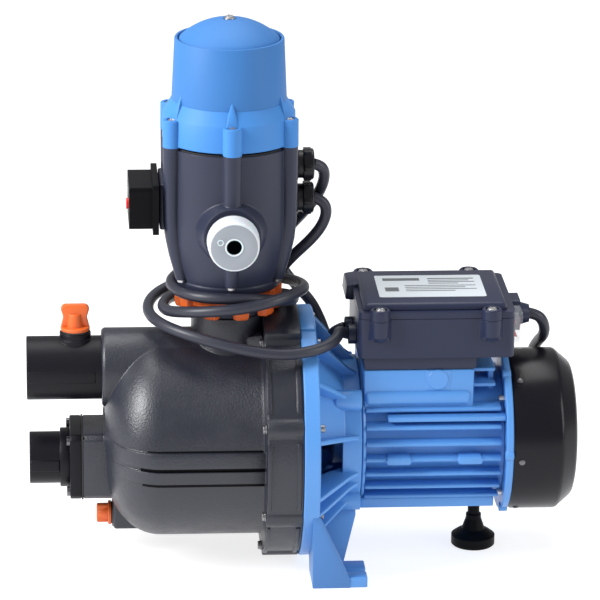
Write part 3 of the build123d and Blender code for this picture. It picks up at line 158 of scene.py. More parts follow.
cast_black = Finish("cast_black", (0.014, 0.016, 0.026), 0.38, edge=0.9,
                    Specular_IOR_Level=0.62).grain(620, 0.26).mottle(60, 0.05, 0.38)
port_black = Finish("port_black", (0.005, 0.005, 0.008), 0.42, edge=0.7,
                    Specular_IOR_Level=0.2).grain(700, 0.12)
moulded_black = Finish("moulded_black", (0.018, 0.023, 0.052), 0.36, edge=0.6,
                       Specular_IOR_Level=0.3).grain(1500, 0.035)
deep_black = Finish("deep_black", (0.003, 0.003, 0.004), 0.45, edge=0.5, Specular_IOR_Level=0.09)
smooth_black = Finish("smooth_black", (0.005, 0.005, 0.008), 0.33, edge=0.4, Specular_IOR_Level=0.3)
satin_black = Finish("satin_black", (0.022, 0.026, 0.050), 0.40, edge=1.2,
                     Specular_IOR_Level=0.34).grain(1500, 0.03)
gloss_black = Finish("gloss_black", (0.004, 0.004, 0.007), 0.27, edge=0.4,
                     Specular_IOR_Level=0.24).grain(700, 0.02)
blue_paint = Finish("blue_paint", (0.085, 0.270, 0.64), 0.36,
                    edge=0.8).grain(500, 0.05).mottle(80, 0.05, 0.36)
blue_plastic = Finish("blue_plastic", (0.050, 0.215, 0.56), 0.52, edge=0.6,
                      Specular_IOR_Level=0.3).grain(1200, 0.03)
# A darker copy of the hood's blue plastic for the cup and the domed top: painted shade, so they read darker
# than the lit skirt.
shaded_hood_blue = Finish("shaded_hood_blue", (0.042, 0.165, 0.43), 0.55, edge=0.6,
                  Specular_IOR_Level=0.25).grain(1200, 0.03)
# A darker copy of the blue paint for the bracket's legs and feet: painted shade, for the light falling off
# low on the bracket.
shaded_leg_blue = Finish("shaded_leg_blue", (0.050, 0.175, 0.45), 0.40, edge=0.8).grain(500, 0.05)
orange_plastic = Finish("orange_plastic", (0.66, 0.115, 0.016), 0.40, edge=0.5)
white_plastic = Finish("white_plastic", (0.62, 0.66, 0.69), 0.42, edge=0.4, Subsurface_Weight=0.25,
                       Subsurface_Scale=0.004)
# A darker grey copy of the white plastic for the closure's front face: painted shade on the face, set
# against the lit side.
shaded_white_plastic = Finish("shaded_white_plastic", (0.27, 0.295, 0.33), 0.32, edge=0.4)
print_grey = Finish("print_grey", (0.10, 0.11, 0.12), 0.5)

cable_black = Finish("cable_black", (0.024, 0.026, 0.040), 0.40, Specular_IOR_Level=0.4).grain(1400, 0.02)
steel = Finish("steel", (0.50, 0.50, 0.51), 0.32, 1.0, edge=0.25)
dull_steel = Finish("dull_steel", (0.30, 0.30, 0.31), 0.38, 1.0, edge=0.2)
dark_steel = Finish("dark_steel", (0.16, 0.16, 0.17), 0.35, 1.0)
brass = Finish("brass", (0.70, 0.48, 0.20), 0.3, 1.0)
copper = Finish("copper", (0.62, 0.27, 0.12), 0.4, 1.0)
rubber = Finish("rubber", (0.02, 0.02, 0.021), 0.6)
label_paper = Finish("label_paper", (0.57, 0.62, 0.66), 0.35)
clear_plastic = Finish("clear_plastic", (0.60, 0.64, 0.68), 0.12, edge=0.4, Alpha=0.18)
red_plastic = Finish("red_plastic", (0.70, 0.015, 0.012), 0.3)
sheet_stack = Finish("sheet_stack", (0.25, 0.25, 0.26), 0.5, 1.0)
aluminium = Finish("aluminium", (0.7, 0.7, 0.72), 0.35, 1.0)
board_green = Finish("board_green", (0.02, 0.16, 0.05), 0.4)

FINISHES = {
    "casing_black": cast_black, "motor_blue": blue_paint, "steel": steel, "black_plastic": moulded_black,
    "blue_plastic": blue_plastic, "orange_plastic": orange_plastic, "white_plastic": white_plastic,
    "clear_plastic": clear_plastic, "red_plastic": red_plastic, "cable_black": cable_black, "rubber": rubber,
    "brass": brass, "copper": copper, "label": label_paper, "laminations": sheet_stack,
    "aluminium": aluminium, "green_board": board_green,
}
for part in frame["record"]["subparts"]:
    nodes[part["node"]].data.materials.clear()
    nodes[part["node"]].data.materials.append(FINISHES[part["material_slot"]].material)

for name in ("rear_foot", "foot_stem", "panel_box"):
    nodes[name].data.materials[0] = deep_black.material
nodes["inlet_screws"].data.materials[0] = dark_steel.material

# ---------------------------------------------------------------- cables
CABLE = 0.0082
CONTROL_ROUTE = (
    (-19.6, 0.0, 271.0), (-12.5, 0.0, 268.5), (-9.5, 0.0, 260.0), (-13.0, 1.0, 249.0),
    (-21.0, 3.0, 238.0), (-31.0, 7.0, 227.0), (-38.5, 11.0, 217.5), (-41.5, 20.0, 209.5),
    (-50.0, 34.5, 206.6), (-65.0, 43.5, 206.0), (-83.0, 45.5, 206.0), (-101.0, 40.0, 206.3),
    (-116.0, 26.0, 206.8), (-123.5, 5.0, 207.0), (-120.5, -16.0, 207.0), (-109.0, -33.0, 208.0),
    (-94.0, -42.5, 208.6), (-76.0, -44.0, 208.4), (-58.0, -38.0, 206.0), (-42.0, -25.0, 200.5),
    (-33.0, -7.0, 195.5), (-33.5, 13.0, 192.5), (-44.0, 32.0, 188.0), (-62.0, 44.5, 187.0),
    (-84.0, 48.0, 186.3), (-106.0, 42.0, 186.0), (-123.0, 26.0, 188.0), (-129.5, 3.0, 189.0),
    (-126.0, -20.0, 192.0), (-113.0, -39.0, 197.5), (-95.0, -50.0, 201.2), (-75.0, -53.5, 204.0),
    (-55.0, -49.5, 207.0), (-38.0, -37.0, 208.8), (-27.0, -18.0, 207.0), (-25.5, 4.0, 203.5),
    (-33.0, 27.0, 200.0), (-50.0, 46.0, 196.8), (-73.0, 56.0, 195.6), (-98.0, 55.5, 194.0),
    (-121.0, 43.0, 192.0), (-137.0, 21.0, 189.5), (-140.5, -5.0, 187.0), (-131.5, -29.0, 185.5),
    (-113.5, -47.0, 183.5), (-91.0, -57.5, 179.5), (-67.0, -62.5, 175.0), (-45.0, -62.0, 171.8),
    (-27.0, -57.0, 172.0), (-14.0, -49.5, 173.0), (-5.0, -38.5, 175.0), (-2.0, -29.0, 177.0),
    (-1.3, -21.0, 175.4), (5.8, -17.3, 172.4),
)
FEED_ROUTE = (
    (-19.6, 0.0, 296.2), (-14.0, 1.0, 294.5), (-11.2, 4.0, 287.5), (-12.4, 8.0, 278.0),
    (-16.5, 14.0, 267.0), (-23.0, 22.0, 255.5), (-31.0, 32.0, 243.0), (-39.0, 43.0, 229.0),
    (-42.0, 51.5, 214.0), (-38.0, 56.0, 199.5), (-28.0, 53.5, 187.0), (-17.0, 48.0, 176.5),
    (-10.5, 42.0, 164.5), (-6.8, 34.0, 155.0), (-4.2, 25.0, 152.0), (-3.8, 18.5, 157.5),
    (-1.5, 15.5, 164.0), (5.8, 14.2, 166.8),
)
LEAD_ROUTE = (
    (141.0, 10.0, 177.5), (147.0, 10.0, 176.3), (151.8, 11.3, 171.3), (154.0, 14.5, 163.5),
    (153.7, 20.5, 156.0), (152.3, 31.5, 149.5), (150.5, 45.5, 139.0), (149.0, 57.5, 122.5),
    (148.0, 66.0, 103.0), (147.0, 71.5, 82.0), (146.0, 77.5, 61.0), (143.5, 85.5, 41.0),
    (137.5, 95.0, 23.0), (126.0, 105.0, 10.5), (110.0, 113.0, 5.2), (89.0, 118.0, 4.4),
    (64.0, 119.0, 4.4), (38.0, 115.5, 4.4), (12.0, 110.0, 4.4), (-14.0, 105.3, 4.4),
    (-38.0, 103.5, 4.4), (-58.0, 103.0, 4.4),
)
TAIL_ROUTE = ((-27.5, 152.0, 14.6), (-24.0, 137.0, 17.2), (-11.0, 127.0, 18.5), (3.0, 133.0, 19.8),
              (7.0, 150.0, 22.0), (1.0, 170.0, 26.0), (-10.0, 187.0, 31.0), (-24.0, 199.0, 34.8),
              (-36.0, 203.0, 36.0), (-49.0, 204.5, 36.2), )
COIL_AT, COIL_R, COIL_START = (-80.0, 160.0), 42.0, math.radians(-88)


def cable(name, route, body, *replaced):
    """A round cable whose smooth line has the route's points as its control points."""
    line = bpy.data.curves.new(name, "CURVE")
    line.dimensions = "3D"
    spline = line.splines.new("NURBS")
    spline.points.add(len(route) - 1)
    for point, place in zip(spline.points, route):
        point.co = (*mm(*place), 1)
    spline.order_u = 3
    spline.use_endpoint_u = True
    spline.resolution_u = 6
    line.bevel_depth = CABLE / 2
    line.bevel_resolution = 6
    line.use_fill_caps = True
    piece = bpy.data.objects.new(name, line)
    piece.data.materials.append(cable_black.material)
    bpy.context.collection.objects.link(piece)
    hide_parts(*replaced)
    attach(piece, body)
    return piece


def coil_turns():
    """Two layers of two turns, all wound the same way round, with the last turn left short."""
    spots = []
    half, low, high = 4.15, 4.4, 12.7
    turns = ((COIL_R + half, low), (COIL_R - half, low), (COIL_R - half, high), (COIL_R + half, high))
    steps, short_steps, passing_steps = 14, 11, 3
    for turn, after in zip(turns, turns[1:] + turns[-1:]):
        for step in range(steps if turn != turns[-1] else short_steps):
            share = max(0.0, (step - steps + passing_steps) / passing_steps)
            angle = COIL_START - 2 * math.pi * step / steps
            radius, height = (here + (there - here) * share for here, there in zip(turn, after))
            spots.append((COIL_AT[0] + radius * math.cos(angle), COIL_AT[1] + radius * math.sin(angle),
                          height))
    return spots


control_cable = cable("control_line", CONTROL_ROUTE, "pump", "control_cable")
feed_cable = cable("feed_line", FEED_ROUTE, "pump", "feed_cable")

lead = cable("lead_line", LEAD_ROUTE + tuple(coil_turns()) + TAIL_ROUTE, "pump", "mains_lead", "lead_coil")

# ---------------------------------------------------------------- shapes
SPINS = {"X": Matrix(), "Z": Matrix.Rotation(math.radians(-90), 4, "Y"),
         "-Y": Matrix.Rotation(math.radians(-90), 4, "Z")}


# Turns in degrees above which an edge is rounded, and above which it is shaded sharp.
EDGE, SHARP = 30, 32


class Shape:
    """Closed shells that together make one piece, in millimetres."""

    def __init__(self):
        self.mesh = bmesh.new()

    def take(self, shell, matrix=Matrix()):
        """Adds a shell, moved by a matrix."""
        shell = shell.mesh if isinstance(shell, Shape) else shell
        store = bpy.data.meshes.new("store")
        shell.to_mesh(store)
        store.transform(matrix)
        self.mesh.from_mesh(store)
        bpy.data.meshes.remove(store)
        return self

    def turned(self, points, axis="X", at=(0, 0, 0), steps=96, angle=360, start=0, closed=False, soft=0,
               cut=None):
        """Points of place along an axis and radius, turned about it. Angles count from +Z about +X."""
        shell = bmesh.new()
        ring = [shell.verts.new((along, 0, radius)) for along, radius in points]
        pairs = zip(ring, ring[1:] + ring[:1] if closed else ring[1:])
        edges = [shell.edges.new(pair) for pair in pairs]
        if start:
            bmesh.ops.rotate(shell, cent=(0, 0, 0), matrix=Matrix.Rotation(math.radians(start), 3, "X"),
                             verts=ring)
        bmesh.ops.spin(shell, geom=ring + edges, cent=(0, 0, 0), axis=(1, 0, 0), angle=math.radians(angle),
                       steps=steps, use_merge=angle == 360)
        bmesh.ops.remove_doubles(shell, verts=shell.verts, dist=0.001)
        if angle != 360:
            bmesh.ops.holes_fill(shell, edges=shell.edges, sides=0)
        bmesh.ops.recalc_face_normals(shell, faces=shell.faces)
        if cut:
            for height, keep in zip(cut, (-1, 1)):
                found = bmesh.ops.bisect_plane(shell, geom=shell.verts[:] + shell.edges[:] + shell.faces[:],
                                               plane_co=(0, 0, height), plane_no=(0, 0, keep),
                                               clear_outer=True)
                rim = [part for part in found["geom_cut"] if isinstance(part, bmesh.types.BMEdge)]
                bmesh.ops.edgenet_fill(shell, edges=rim)
        soften(shell, soft)
        return self.take(shell, Matrix.Translation(at) @ SPINS[axis])

    def block(self, low, high, soft=1.0, parts=3, along=None):
        """A block with rounded edges, or with only the edges along one axis rounded."""
        shell = bmesh.new()
        bmesh.ops.create_cube(shell, size=1)
        low, high = Vector(low), Vector(high)
        bmesh.ops.scale(shell, vec=high - low, verts=shell.verts)
        bmesh.ops.translate(shell, vec=(low + high) / 2, verts=shell.verts)
        if along is not None:
            sides = [e for e in shell.edges if abs((e.verts[0].co - e.verts[1].co)[along]) > 1e-6]
            bmesh.ops.bevel(shell, geom=sides, offset=soft, segments=parts + 2, affect="EDGES", profile=0.5,
                            material=-1)
        else:
            soften(shell, soft, parts)
        return self.take(shell)

    def prism(self, outline, axis, low, high, soft=0.8, parts=2, matrix=Matrix()):
        """An outline pushed along an axis. About X it is (Y, Z), about Y (X, Z), about Z (X, Y)."""
        shell = bmesh.new()
        corners = {"X": lambda a, b: (low, a, b), "Y": lambda a, b: (a, low, b), "Z": lambda a,
                   b: (a, b, low)}
        face = shell.faces.new([shell.verts.new(corners[axis](*corner)) for corner in outline])
        pushed = bmesh.ops.extrude_face_region(shell, geom=[face], use_keep_orig=True)
        moved = [v for v in pushed["geom"] if isinstance(v, bmesh.types.BMVert)]
        step = [0, 0, 0]
        step["XYZ".index(axis)] = high - low
        bmesh.ops.translate(shell, vec=step, verts=moved)
        bmesh.ops.recalc_face_normals(shell, faces=shell.faces)
        soften(shell, soft, parts)
        return self.take(shell, matrix)

    def both_sides(self, low, high, soft):
        """A block and its mirror image across the middle plane."""
        self.block(low, high, soft)
        self.block((low[0], -high[1], low[2]), (high[0], -low[1], high[2]), soft)

    def cross_slot(self, x, y, low, high, reach, half, start):
        """The two crossed bars of a screw's slot, about an upright line."""
        for turn in (0, 90):
            bar = Shape().block((x - reach, y - half, low), (x + reach, y + half, high), 0.1, 1)
            self.around(bar, 1, "Z", (x, y, 0), start + turn)

    def hull(self, points, soft=0.5):
        """The tightest closed shell round some points, with its edges rounded."""
        shell = bmesh.new()
        for point in points:
            shell.verts.new(point)
        bmesh.ops.convex_hull(shell, input=shell.verts)
        bmesh.ops.dissolve_limit(shell, angle_limit=0.01, verts=shell.verts, edges=shell.edges)
        bmesh.ops.recalc_face_normals(shell, faces=shell.faces)
        soften(shell, soft, 2)
        return self.take(shell)

    def stalk(self, rings, sides=20):
        """Level circles (x, y, z, radius) joined one to the next."""
        shell = bmesh.new()
        loops = []
        for x, y, z, radius in rings:
            made = bmesh.ops.create_circle(shell, segments=sides, radius=radius,
                                           matrix=Matrix.Translation((x, y, z)))
            loops.append(list({e for v in made["verts"] for e in v.link_edges}))
        for one, other in zip(loops, loops[1:]):
            bmesh.ops.bridge_loops(shell, edges=one + other)
        bmesh.ops.holes_fill(shell, edges=shell.edges, sides=0)
        bmesh.ops.recalc_face_normals(shell, faces=shell.faces)
        return self.take(shell)

    def around(self, shape, count, axis, centre, start=0.0):
        """Copies of a shape, turned about an axis through a centre."""
        for k in range(count):
            turn = Matrix.Rotation(math.radians(start + 360 * k / count), 4, axis)
            self.take(shape, Matrix.Translation(centre) @ turn @ Matrix.Translation(-Vector(centre)))
        return self

    def piece(self, name, finish, slot, body, *replaced):
        """The finished piece, in metres, riding on its body."""
        bmesh.ops.scale(self.mesh, vec=(0.001, 0.001, 0.001), verts=self.mesh.verts)
        mesh = bpy.data.meshes.new(name)
        self.mesh.to_mesh(mesh)
        self.mesh.free()
        mesh.shade_smooth()
        mesh.set_sharp_from_angle(angle=math.radians(SHARP))
        mesh.materials.append(finish.material)
        made = bpy.data.objects.new(name, mesh)
        bpy.context.collection.objects.link(made)
        if replaced:
            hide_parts(*replaced)
        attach(made, body)
        return made


def soften(shell, width, parts=2):
    """Rounds every edge that turns sharply."""
    if width:
        edges = [e for e in shell.edges if e.is_manifold and e.calc_face_angle(0) > math.radians(EDGE)]
        bmesh.ops.bevel(shell, geom=edges, offset=width, segments=parts, affect="EDGES", profile=0.5,
                        material=-1, clamp_overlap=True)


def corner_arc(x0, r0, x1, r1, parts):
    """A quarter ellipse from (x0, r0), where it is upright, to (x1, r1), where it is level."""
    arc = []
    for k in range(parts + 1):
        a = math.pi / 2 * k / parts
        arc.append((x1 + (x0 - x1) * math.cos(a), r0 + (r1 - r0) * math.sin(a)))
    return arc


def round_spots(angles, radius, height):
    """Y and Z places on a circle about an axis along X, at angles from the top."""
    return [(radius * math.sin(math.radians(a)), height + radius * math.cos(math.radians(a)))
            for a in angles]


# ---------------------------------------------------------------- common places, in millimetres
AXIS = 91.5
SHAFT = (0, 0, AXIS)
UPPER_PORT = (0, 0, 143.0)
LOWER_PORT = (0, 0, 73.3)
DRAIN = (0, 0, 29.0)
FILL = (-192.3, 0, 0)
NECK = (-81.0, 0, 0)
OUTLET = (-81.0, 0, 258.8)
GLAND_HEIGHTS = (296.2, 271.0)
LID_SCREWS = ((26.2, -46.2), (107.0, -46.2), (21.5, 46.2), (100.3, 46.2))
BOLTS = [side * a for a in (21.0, 69.0, 117.0, 161.0) for side in (1, -1)]
HEXAGON = [30 + 60 * k for k in range(6)]
POSTS = [math.radians(60 * k - 90) for k in range(6)]
POST_R = 48.2


# ---------------------------------------------------------------- casing
def octagon(half, cut, height):
    """A square with its corners cut off, as (Y, Z) corners."""
    return [(half, height - half + cut), (half, height + half - cut), (half - cut, height + half),
            (cut - half, height + half), (-half, height + half - cut), (-half, height - half + cut),
            (cut - half, height - half), (half - cut, height - half)]


def threaded_bore(x0, depth, outside, beyond, x1):
    """Outline of a nozzle's wall with thread ridges in its mouth."""
    outline = [(x0 + 0.5, outside), (x0, outside - 0.6), (x0, 16.0), (x0 + 1.0, 15.2)]
    for k in range(7):
        outline += [(x0 + 2.0 + 2.3 * k, 15.15), (x0 + 3.1 + 2.3 * k, 14.3)]
    return outline + [(x0 + depth, 15.15), (x0 + depth, beyond), (x1, beyond), (x1, outside)]


def casing_shell():
    """The pump casing: barrel with domed end, ridge bands, flange, neck and the seats of its ports."""
    casing = Shape()
    dome = corner_arc(-171.0, 26.0, -131.0, 75.0, 16)
    casing.turned([(-171.0, 0)] + dome + [(-60.0, 75.0), (-58.0, 75.8), (-57.0, 78.0), (-56.5, 82.0),
                                          (-56.5, 87.6), (-55.5, 88.6), (-30.2, 88.6), (-30.2, 0)],
                  at=SHAFT, steps=128)
    for low, high, proud in ((91.6, 102.8, 3.2), (79.3, 88.6, 2.6)):
        band = corner_arc(-169.0 - proud, 20.0, -131.0, 75.0 + proud, 16)
        casing.turned([(-169.0 - proud, 0)] + band + [(-50.0, 75.0 + proud), (-50.0, 0)], at=SHAFT,
                      steps=128, cut=(low - AXIS, high - AXIS), soft=0.9)
    casing.turned([(-56.5, 80), (-56.5, 96.5), (-30.2, 96.5), (-30.2, 80)], at=SHAFT, steps=16, angle=47,
                  start=-23.5, closed=True, soft=1.2)
    for y, z in round_spots(BOLTS, 82.2, AXIS):
        casing.turned([(-56.6, 0), (-56.6, 9.3), (-30.2, 9.3), (-30.2, 0)], at=(0, y, z), steps=32, soft=0.8)
    for angle in (93.0, 139.0, 45.0):
        for side in (1, -1):
            for x in (-55.0, -33.4):
                casing.turned([(x - 1.5, 86), (x - 1.5, 89.9), (x + 1.5, 89.9), (x + 1.5, 86)], at=SHAFT,
                              steps=10, angle=34, start=side * angle - 17, closed=True, soft=0.5)
    casing.turned([(-173.5, 0)] + corner_arc(-173.5, 26.0, -170.5, 29.0, 4) + [(-58.0, 29.0), (-58.0, 0)],
                  at=UPPER_PORT, steps=80)
    casing.turned([(150.0, 0), (150.0, 36.0), (156.0, 31.0), (163.0, 28.2), (170.0, 27.0), (186.9, 27.0),
                   (187.5, 26.4), (187.5, 0)], "Z", NECK)
    casing.block((-165.3, -12.0, 19.8), (-118.0, 12.0, 52.0), 2.2)
    casing.turned([(-166.2, 0), (-166.2, 10.4), (-160.0, 10.4), (-160.0, 0)], at=DRAIN, steps=40, soft=0.5)
    casing.prism(octagon(25.0, 3.6, LOWER_PORT[2]), "X", -187.4, -150.0, 1.0)
    saddle = [(x, y, z) for x, half, z in ((-57.0, 29.0, 176.0), (-96.0, 12.0, 165.0), (-57.0, 29.0, 160.0))
              for y in (-half, half)]
    casing.hull([(-60.0, y, z) for y, z in round_spots((-20, 20), 76, AXIS)] + saddle, 2.0)
    casing.piece("casing_shell", cast_black, "casing_black", "pump", "pump_casing")


def upper_nozzle():
    """The upper nozzle with its side flats and the filling plug's collar."""
    nozzle = Shape()
    nozzle.turned(threaded_bore(-228.0, 20.0, 23.3, 12.5, -172.5), at=UPPER_PORT, steps=80, closed=True)
    nozzle.both_sides((-227.2, 20, 138.6), (-178.0, 23.5, 147.4), 0.9)
    nozzle.turned([(150.0, 0), (150.0, 13.0), (166.0, 12.4), (166.8, 11.4), (170.4, 11.4), (171.0, 10.8),
                   (171.0, 0)], "Z", FILL, 48)
    nozzle.piece("upper_nozzle", port_black, "casing_black", "pump")


def band_shadow_strips():
    """Thin dark strips laid on the casing just beside the ridge bands: painted shadow of the bands."""
    shadow_strips = Shape()
    for low, high, proud in ((102.4, 103.9, 0.5), (88.0, 92.0, 1.0), (76.4, 80.0, 0.8)):
        band = corner_arc(-168.5 - proud, 20.0, -131.0, 75.0 + proud, 16)
        shadow_strips.turned([(-168.5 - proud, 0)] + band + [(-56.0, 75.0 + proud), (-56.0, 0)], at=SHAFT,
                       steps=128, cut=(low - AXIS, high - AXIS), soft=0.3)
    # The strips take the deep black finish as painted shadow below and beside the bands.
    shadow_strips.piece("band_shadow_strips", deep_black, "casing_black", "pump")


def inlet_fitting():
    """The lower nozzle on its square plate."""
    fitting = Shape()
    fitting.turned(threaded_bore(-226.5, 20.0, 19.1, 10.5, -190.0), at=LOWER_PORT, steps=72, closed=True)
    fitting.both_sides((-225.6, 16, 69.0), (-204.5, 19.5, 77.6), 0.8)
    fitting.turned([(-204.2, 12), (-204.2, 21.8), (-196.8, 21.8), (-196.8, 12)], at=LOWER_PORT, steps=72,
                   closed=True, soft=0.9)
    fitting.prism(octagon(25.0, 3.6, LOWER_PORT[2]), "X", -197.0, -188.6, 0.9)
    fitting.piece("inlet_fitting", port_black, "casing_black", "pump", "inlet_adapter")


def filling_plug():
    """The filling plug with its waisted wing."""
    fill = Shape()
    fill.prism([(-202.9, 174.2), (-200.9, 182.2), (-202.8, 188.6), (-201.6, 191.0), (-199.4, 191.8),
                (-185.2, 191.8), (-183.0, 191.0), (-181.8, 188.6), (-183.7, 182.2), (-181.7, 174.2)],
               "Y", -2.4, 2.4, 1.1, 3)
    fill.turned([(162.2, 0), (162.2, 7.4), (172.6, 7.4), (172.6, 10.7), (174.4, 10.7), (175.0, 10.0),
                 (175.0, 0)], "Z", FILL, 48)
    fill.turned([(173.0, 0), (173.0, 6.5), (184.0, 5.0), (184.6, 4.4), (184.6, 0)], "Z", FILL, 32)
    fill.piece("filling_plug", orange_plastic, "orange_plastic", "fill_plug", "fill_plug")


def draining_plug():
    """The draining plug with its wing."""
    drain = Shape()
    drain.block((-177.6, -2.6, 21.9), (-168.5, 2.6, 36.1), 1.2)
    drain.turned([(-169.2, 0), (-169.2, 8.4), (-168.6, 9.0), (-166.9, 9.0), (-166.9, 6.2), (-156.4, 6.2),
                  (-156.4, 0)], at=DRAIN, steps=48)
    drain.turned([(-176.5, 0), (-176.5, 3.6), (-169.0, 5.4), (-169.0, 0)], at=DRAIN, steps=32, soft=0.5)
    drain.piece("draining_plug", orange_plastic, "orange_plastic", "drain_plug", "drain_plug")


# ---------------------------------------------------------------- bracket
def lantern_bracket():
    """The lantern between pump and motor, with its ribs, bolt bosses, legs and slotted pads."""
    bracket, legs = Shape(), Shape()
    bracket.turned([(-30.0, 62), (-30.0, 90.8), (-29.3, 91.5), (-19.2, 91.5), (-18.5, 90.8), (-18.5, 70),
                    (-24.5, 66), (-24.5, 62)], at=SHAFT, steps=128, closed=True)
    bracket.turned([(-30.0, 84), (-30.0, 93.2), (-19.5, 93.2), (-18.5, 92), (-18.5, 84)], at=SHAFT,
                   steps=12, angle=36, start=-18, closed=True, soft=0.8)
    bracket.turned([(0.0, 46), (0.0, 56.0), (13.2, 56.0), (13.9, 55.2), (13.9, 20), (8.0, 20), (8.0, 46)],
                   at=SHAFT, closed=True)
    wall = [(-24.0, 64), (-24.0, 72.5), (-18.5, 72.5), (1.5, 56.0), (1.5, 50.0), (-16.0, 65)]
    for middle, spread in ((0, 152), (117, 18), (-117, 18), (152, 18), (-152, 18)):
        bracket.turned(wall, at=SHAFT, steps=max(6, spread // 4), angle=spread, start=middle - spread / 2,
                       closed=True)
    for angle in (0, 22, 48, 76, 105, 115, 128, 148, 180):
        for side in (1, -1) if angle % 180 else (1,):
            rib = Shape().prism([(-20.0, AXIS + 60), (-20.0, AXIS + 88), (-18.0, AXIS + 88),
                                 (6.0, AXIS + 60.5), (11.5, AXIS + 56.5), (11.5, AXIS + 48),
                                 (-2.0, AXIS + 50)], "Y", -1.7, 1.7, 0.6)
            bracket.around(rib, 1, "X", SHAFT, side * angle)
    for y, z in round_spots((48, -48, 132, -132), 57.5, AXIS):
        bracket.turned([(-7.0, 0), (-7.0, 6.0), (-5.0, 7.6), (13.9, 7.6), (13.9, 0)], at=(0, y, z),
                       steps=32, soft=0.5)
    for side in (1, -1):
        near = sorted((side * 80.0, side * 84.0))
        leg = [(side * 36, 24), (side * 50, 0.2), (side * 82, 0.2), (side * 82, 54.0), (side * 66, 64)]
        legs.prism(leg, "X", -23.0, -18.6, 0.7)
        legs.prism([(-23.0, 0.0), (-23.0, 55.5), (-18.0, 55.5), (-17.2, 54.0), (4.6, 6.5), (4.6, 0)],
                   "Y", *near, 0.7)
        web = Shape().prism([(-22.0, 2), (-22.0, 64), (11.0, 64), (11.0, 42), (1.8, 7.0), (1.8, 2)],
                            "Y", -2.2, 2.2, 0.6)
        lean = Matrix.Rotation(math.radians(side * 15), 4, "X")
        bracket.take(web, Matrix.Translation((0, side * 52.4, 0)) @ lean)
    for low, high in ((50.0, 64.6), (71.4, 83.4)):
        bracket.both_sides((-22.8, low, 0.1), (17.0, high, 8.0), 0.8)
    bracket.both_sides((-22.6, 63, 0.2), (-5.0, 73, 8.0), 0.8)
    bracket.turned([(-4.0, 11), (-4.0, 24), (8.5, 24), (8.5, 11)], at=SHAFT, steps=48, closed=True)
    bracket.piece("lantern_bracket", blue_paint, "motor_blue", "pump", "bracket")
    # The legs and feet wear the darker blue copy of the paint as painted shade.
    legs.piece("bracket_legs", shaded_leg_blue, "motor_blue", "pump")


# ---------------------------------------------------------------- motor
def motor_frame():
    """The finned motor frame with its side pads and the seat of the terminal box."""
    motor = Shape()
    motor.turned([(14.4, 30), (14.4, 53.0), (15.2, 53.8), (17.0, 53.0), (17.4, 46.4), (118.9, 46.4),
                  (118.9, 30)], at=SHAFT, closed=True)
    for offset in (31.0, 19.2, 7.6, -4.0, -15.7, -27.3, -37.5):
        reach = math.sqrt(55.5**2 - offset**2)
        z = AXIS + offset
        for side in (1, -1):
            fin = [(side * 34, z - 2.6), (side * (reach - 1), z - 1.5), (side * reach, z - 0.9),
                   (side * reach, z + 0.9), (side * (reach - 1), z + 1.5), (side * 34, z + 2.6)]
            motor.prism(fin, "X", 17.2, 115.8, 0.55)
    motor.both_sides((33.0, 40, 115.6), (118.9, 51.6, 119.2), 0.7)
    motor.both_sides((60.5, 40, 136.6), (78.5, 42.5, 151.9), 0.4)
    disc = [(41.0, 0), (41.0, 7.6), (42.9, 7.6), (43.3, 7.0), (43.3, 0)]
    for side in (1, -1):
        for x in (40.7, 92.8):
            pad = [(x - 9.6, 87.5), (x - 8.0, 90.4), (x + 8.0, 90.4), (x + 9.6, 87.5), (x + 8.0, 84.6),
                   (x - 8.0, 84.6)]
            motor.prism(pad, "Y", *sorted((side * 46, side * 58.0)), 0.9)
        motor.turned([(side * out, radius) for out, radius in disc][::side], "-Y", (69.5, 0, 144.8), 40)
    motor.block((17.0, -45.6, 126.4), (93.4, 45.6, 136.2), 3.0, 4)
    motor.hull([(x, y, z) for x, w, z in ((15.5, 42, 152.3), (96.0, 42, 152.3), (16.0, 42.6, 122),
                                          (95.5, 42.6, 122)) for y in (w, -w)], 1.6)
    motor.hull([(x, y, z) for x in (14.4, 112.5) for y, z in ((41, 45.3), (-41, 45.3), (41, 52.6),
                                                              (-41, 52.6), (30, 58), (-30, 58))], 0.9)
    for low, high, reach in ((136.0, 138.8, 34.0), (146.4, 149.2, 30.0)):
        motor.block((94.0, -reach, low), (112.5, reach, high), 0.7)
    motor.block((108.0, -24.0, 128.0), (112.0, 24.0, 149.0), 0.7)
    motor.piece("motor_frame", blue_paint, "motor_blue", "pump", "motor_housing")


def rear_ring():
    """The rear shield with its screw lugs."""
    ring = Shape()
    ring.turned([(119.1, 22), (119.1, 59.2), (119.8, 60.0), (123.6, 60.0), (124.2, 59.2), (124.2, 22)],
                at=SHAFT, steps=128, closed=True)
    for y, z in round_spots((28, -28, 90, -90, 152, -152), 58.6, AXIS):
        ring.turned([(118.2, 0), (118.2, 3.4), (124.2, 3.4), (124.2, 0)], at=(0, y, z), steps=20, soft=0.4)
    ring.turned([(104.0, 17.6), (104.0, 22.5), (120.0, 22.5), (120.0, 17.6)], at=SHAFT, steps=48,
                closed=True)
    ring.piece("rear_ring", blue_paint, "motor_blue", "pump", "rear_shield")


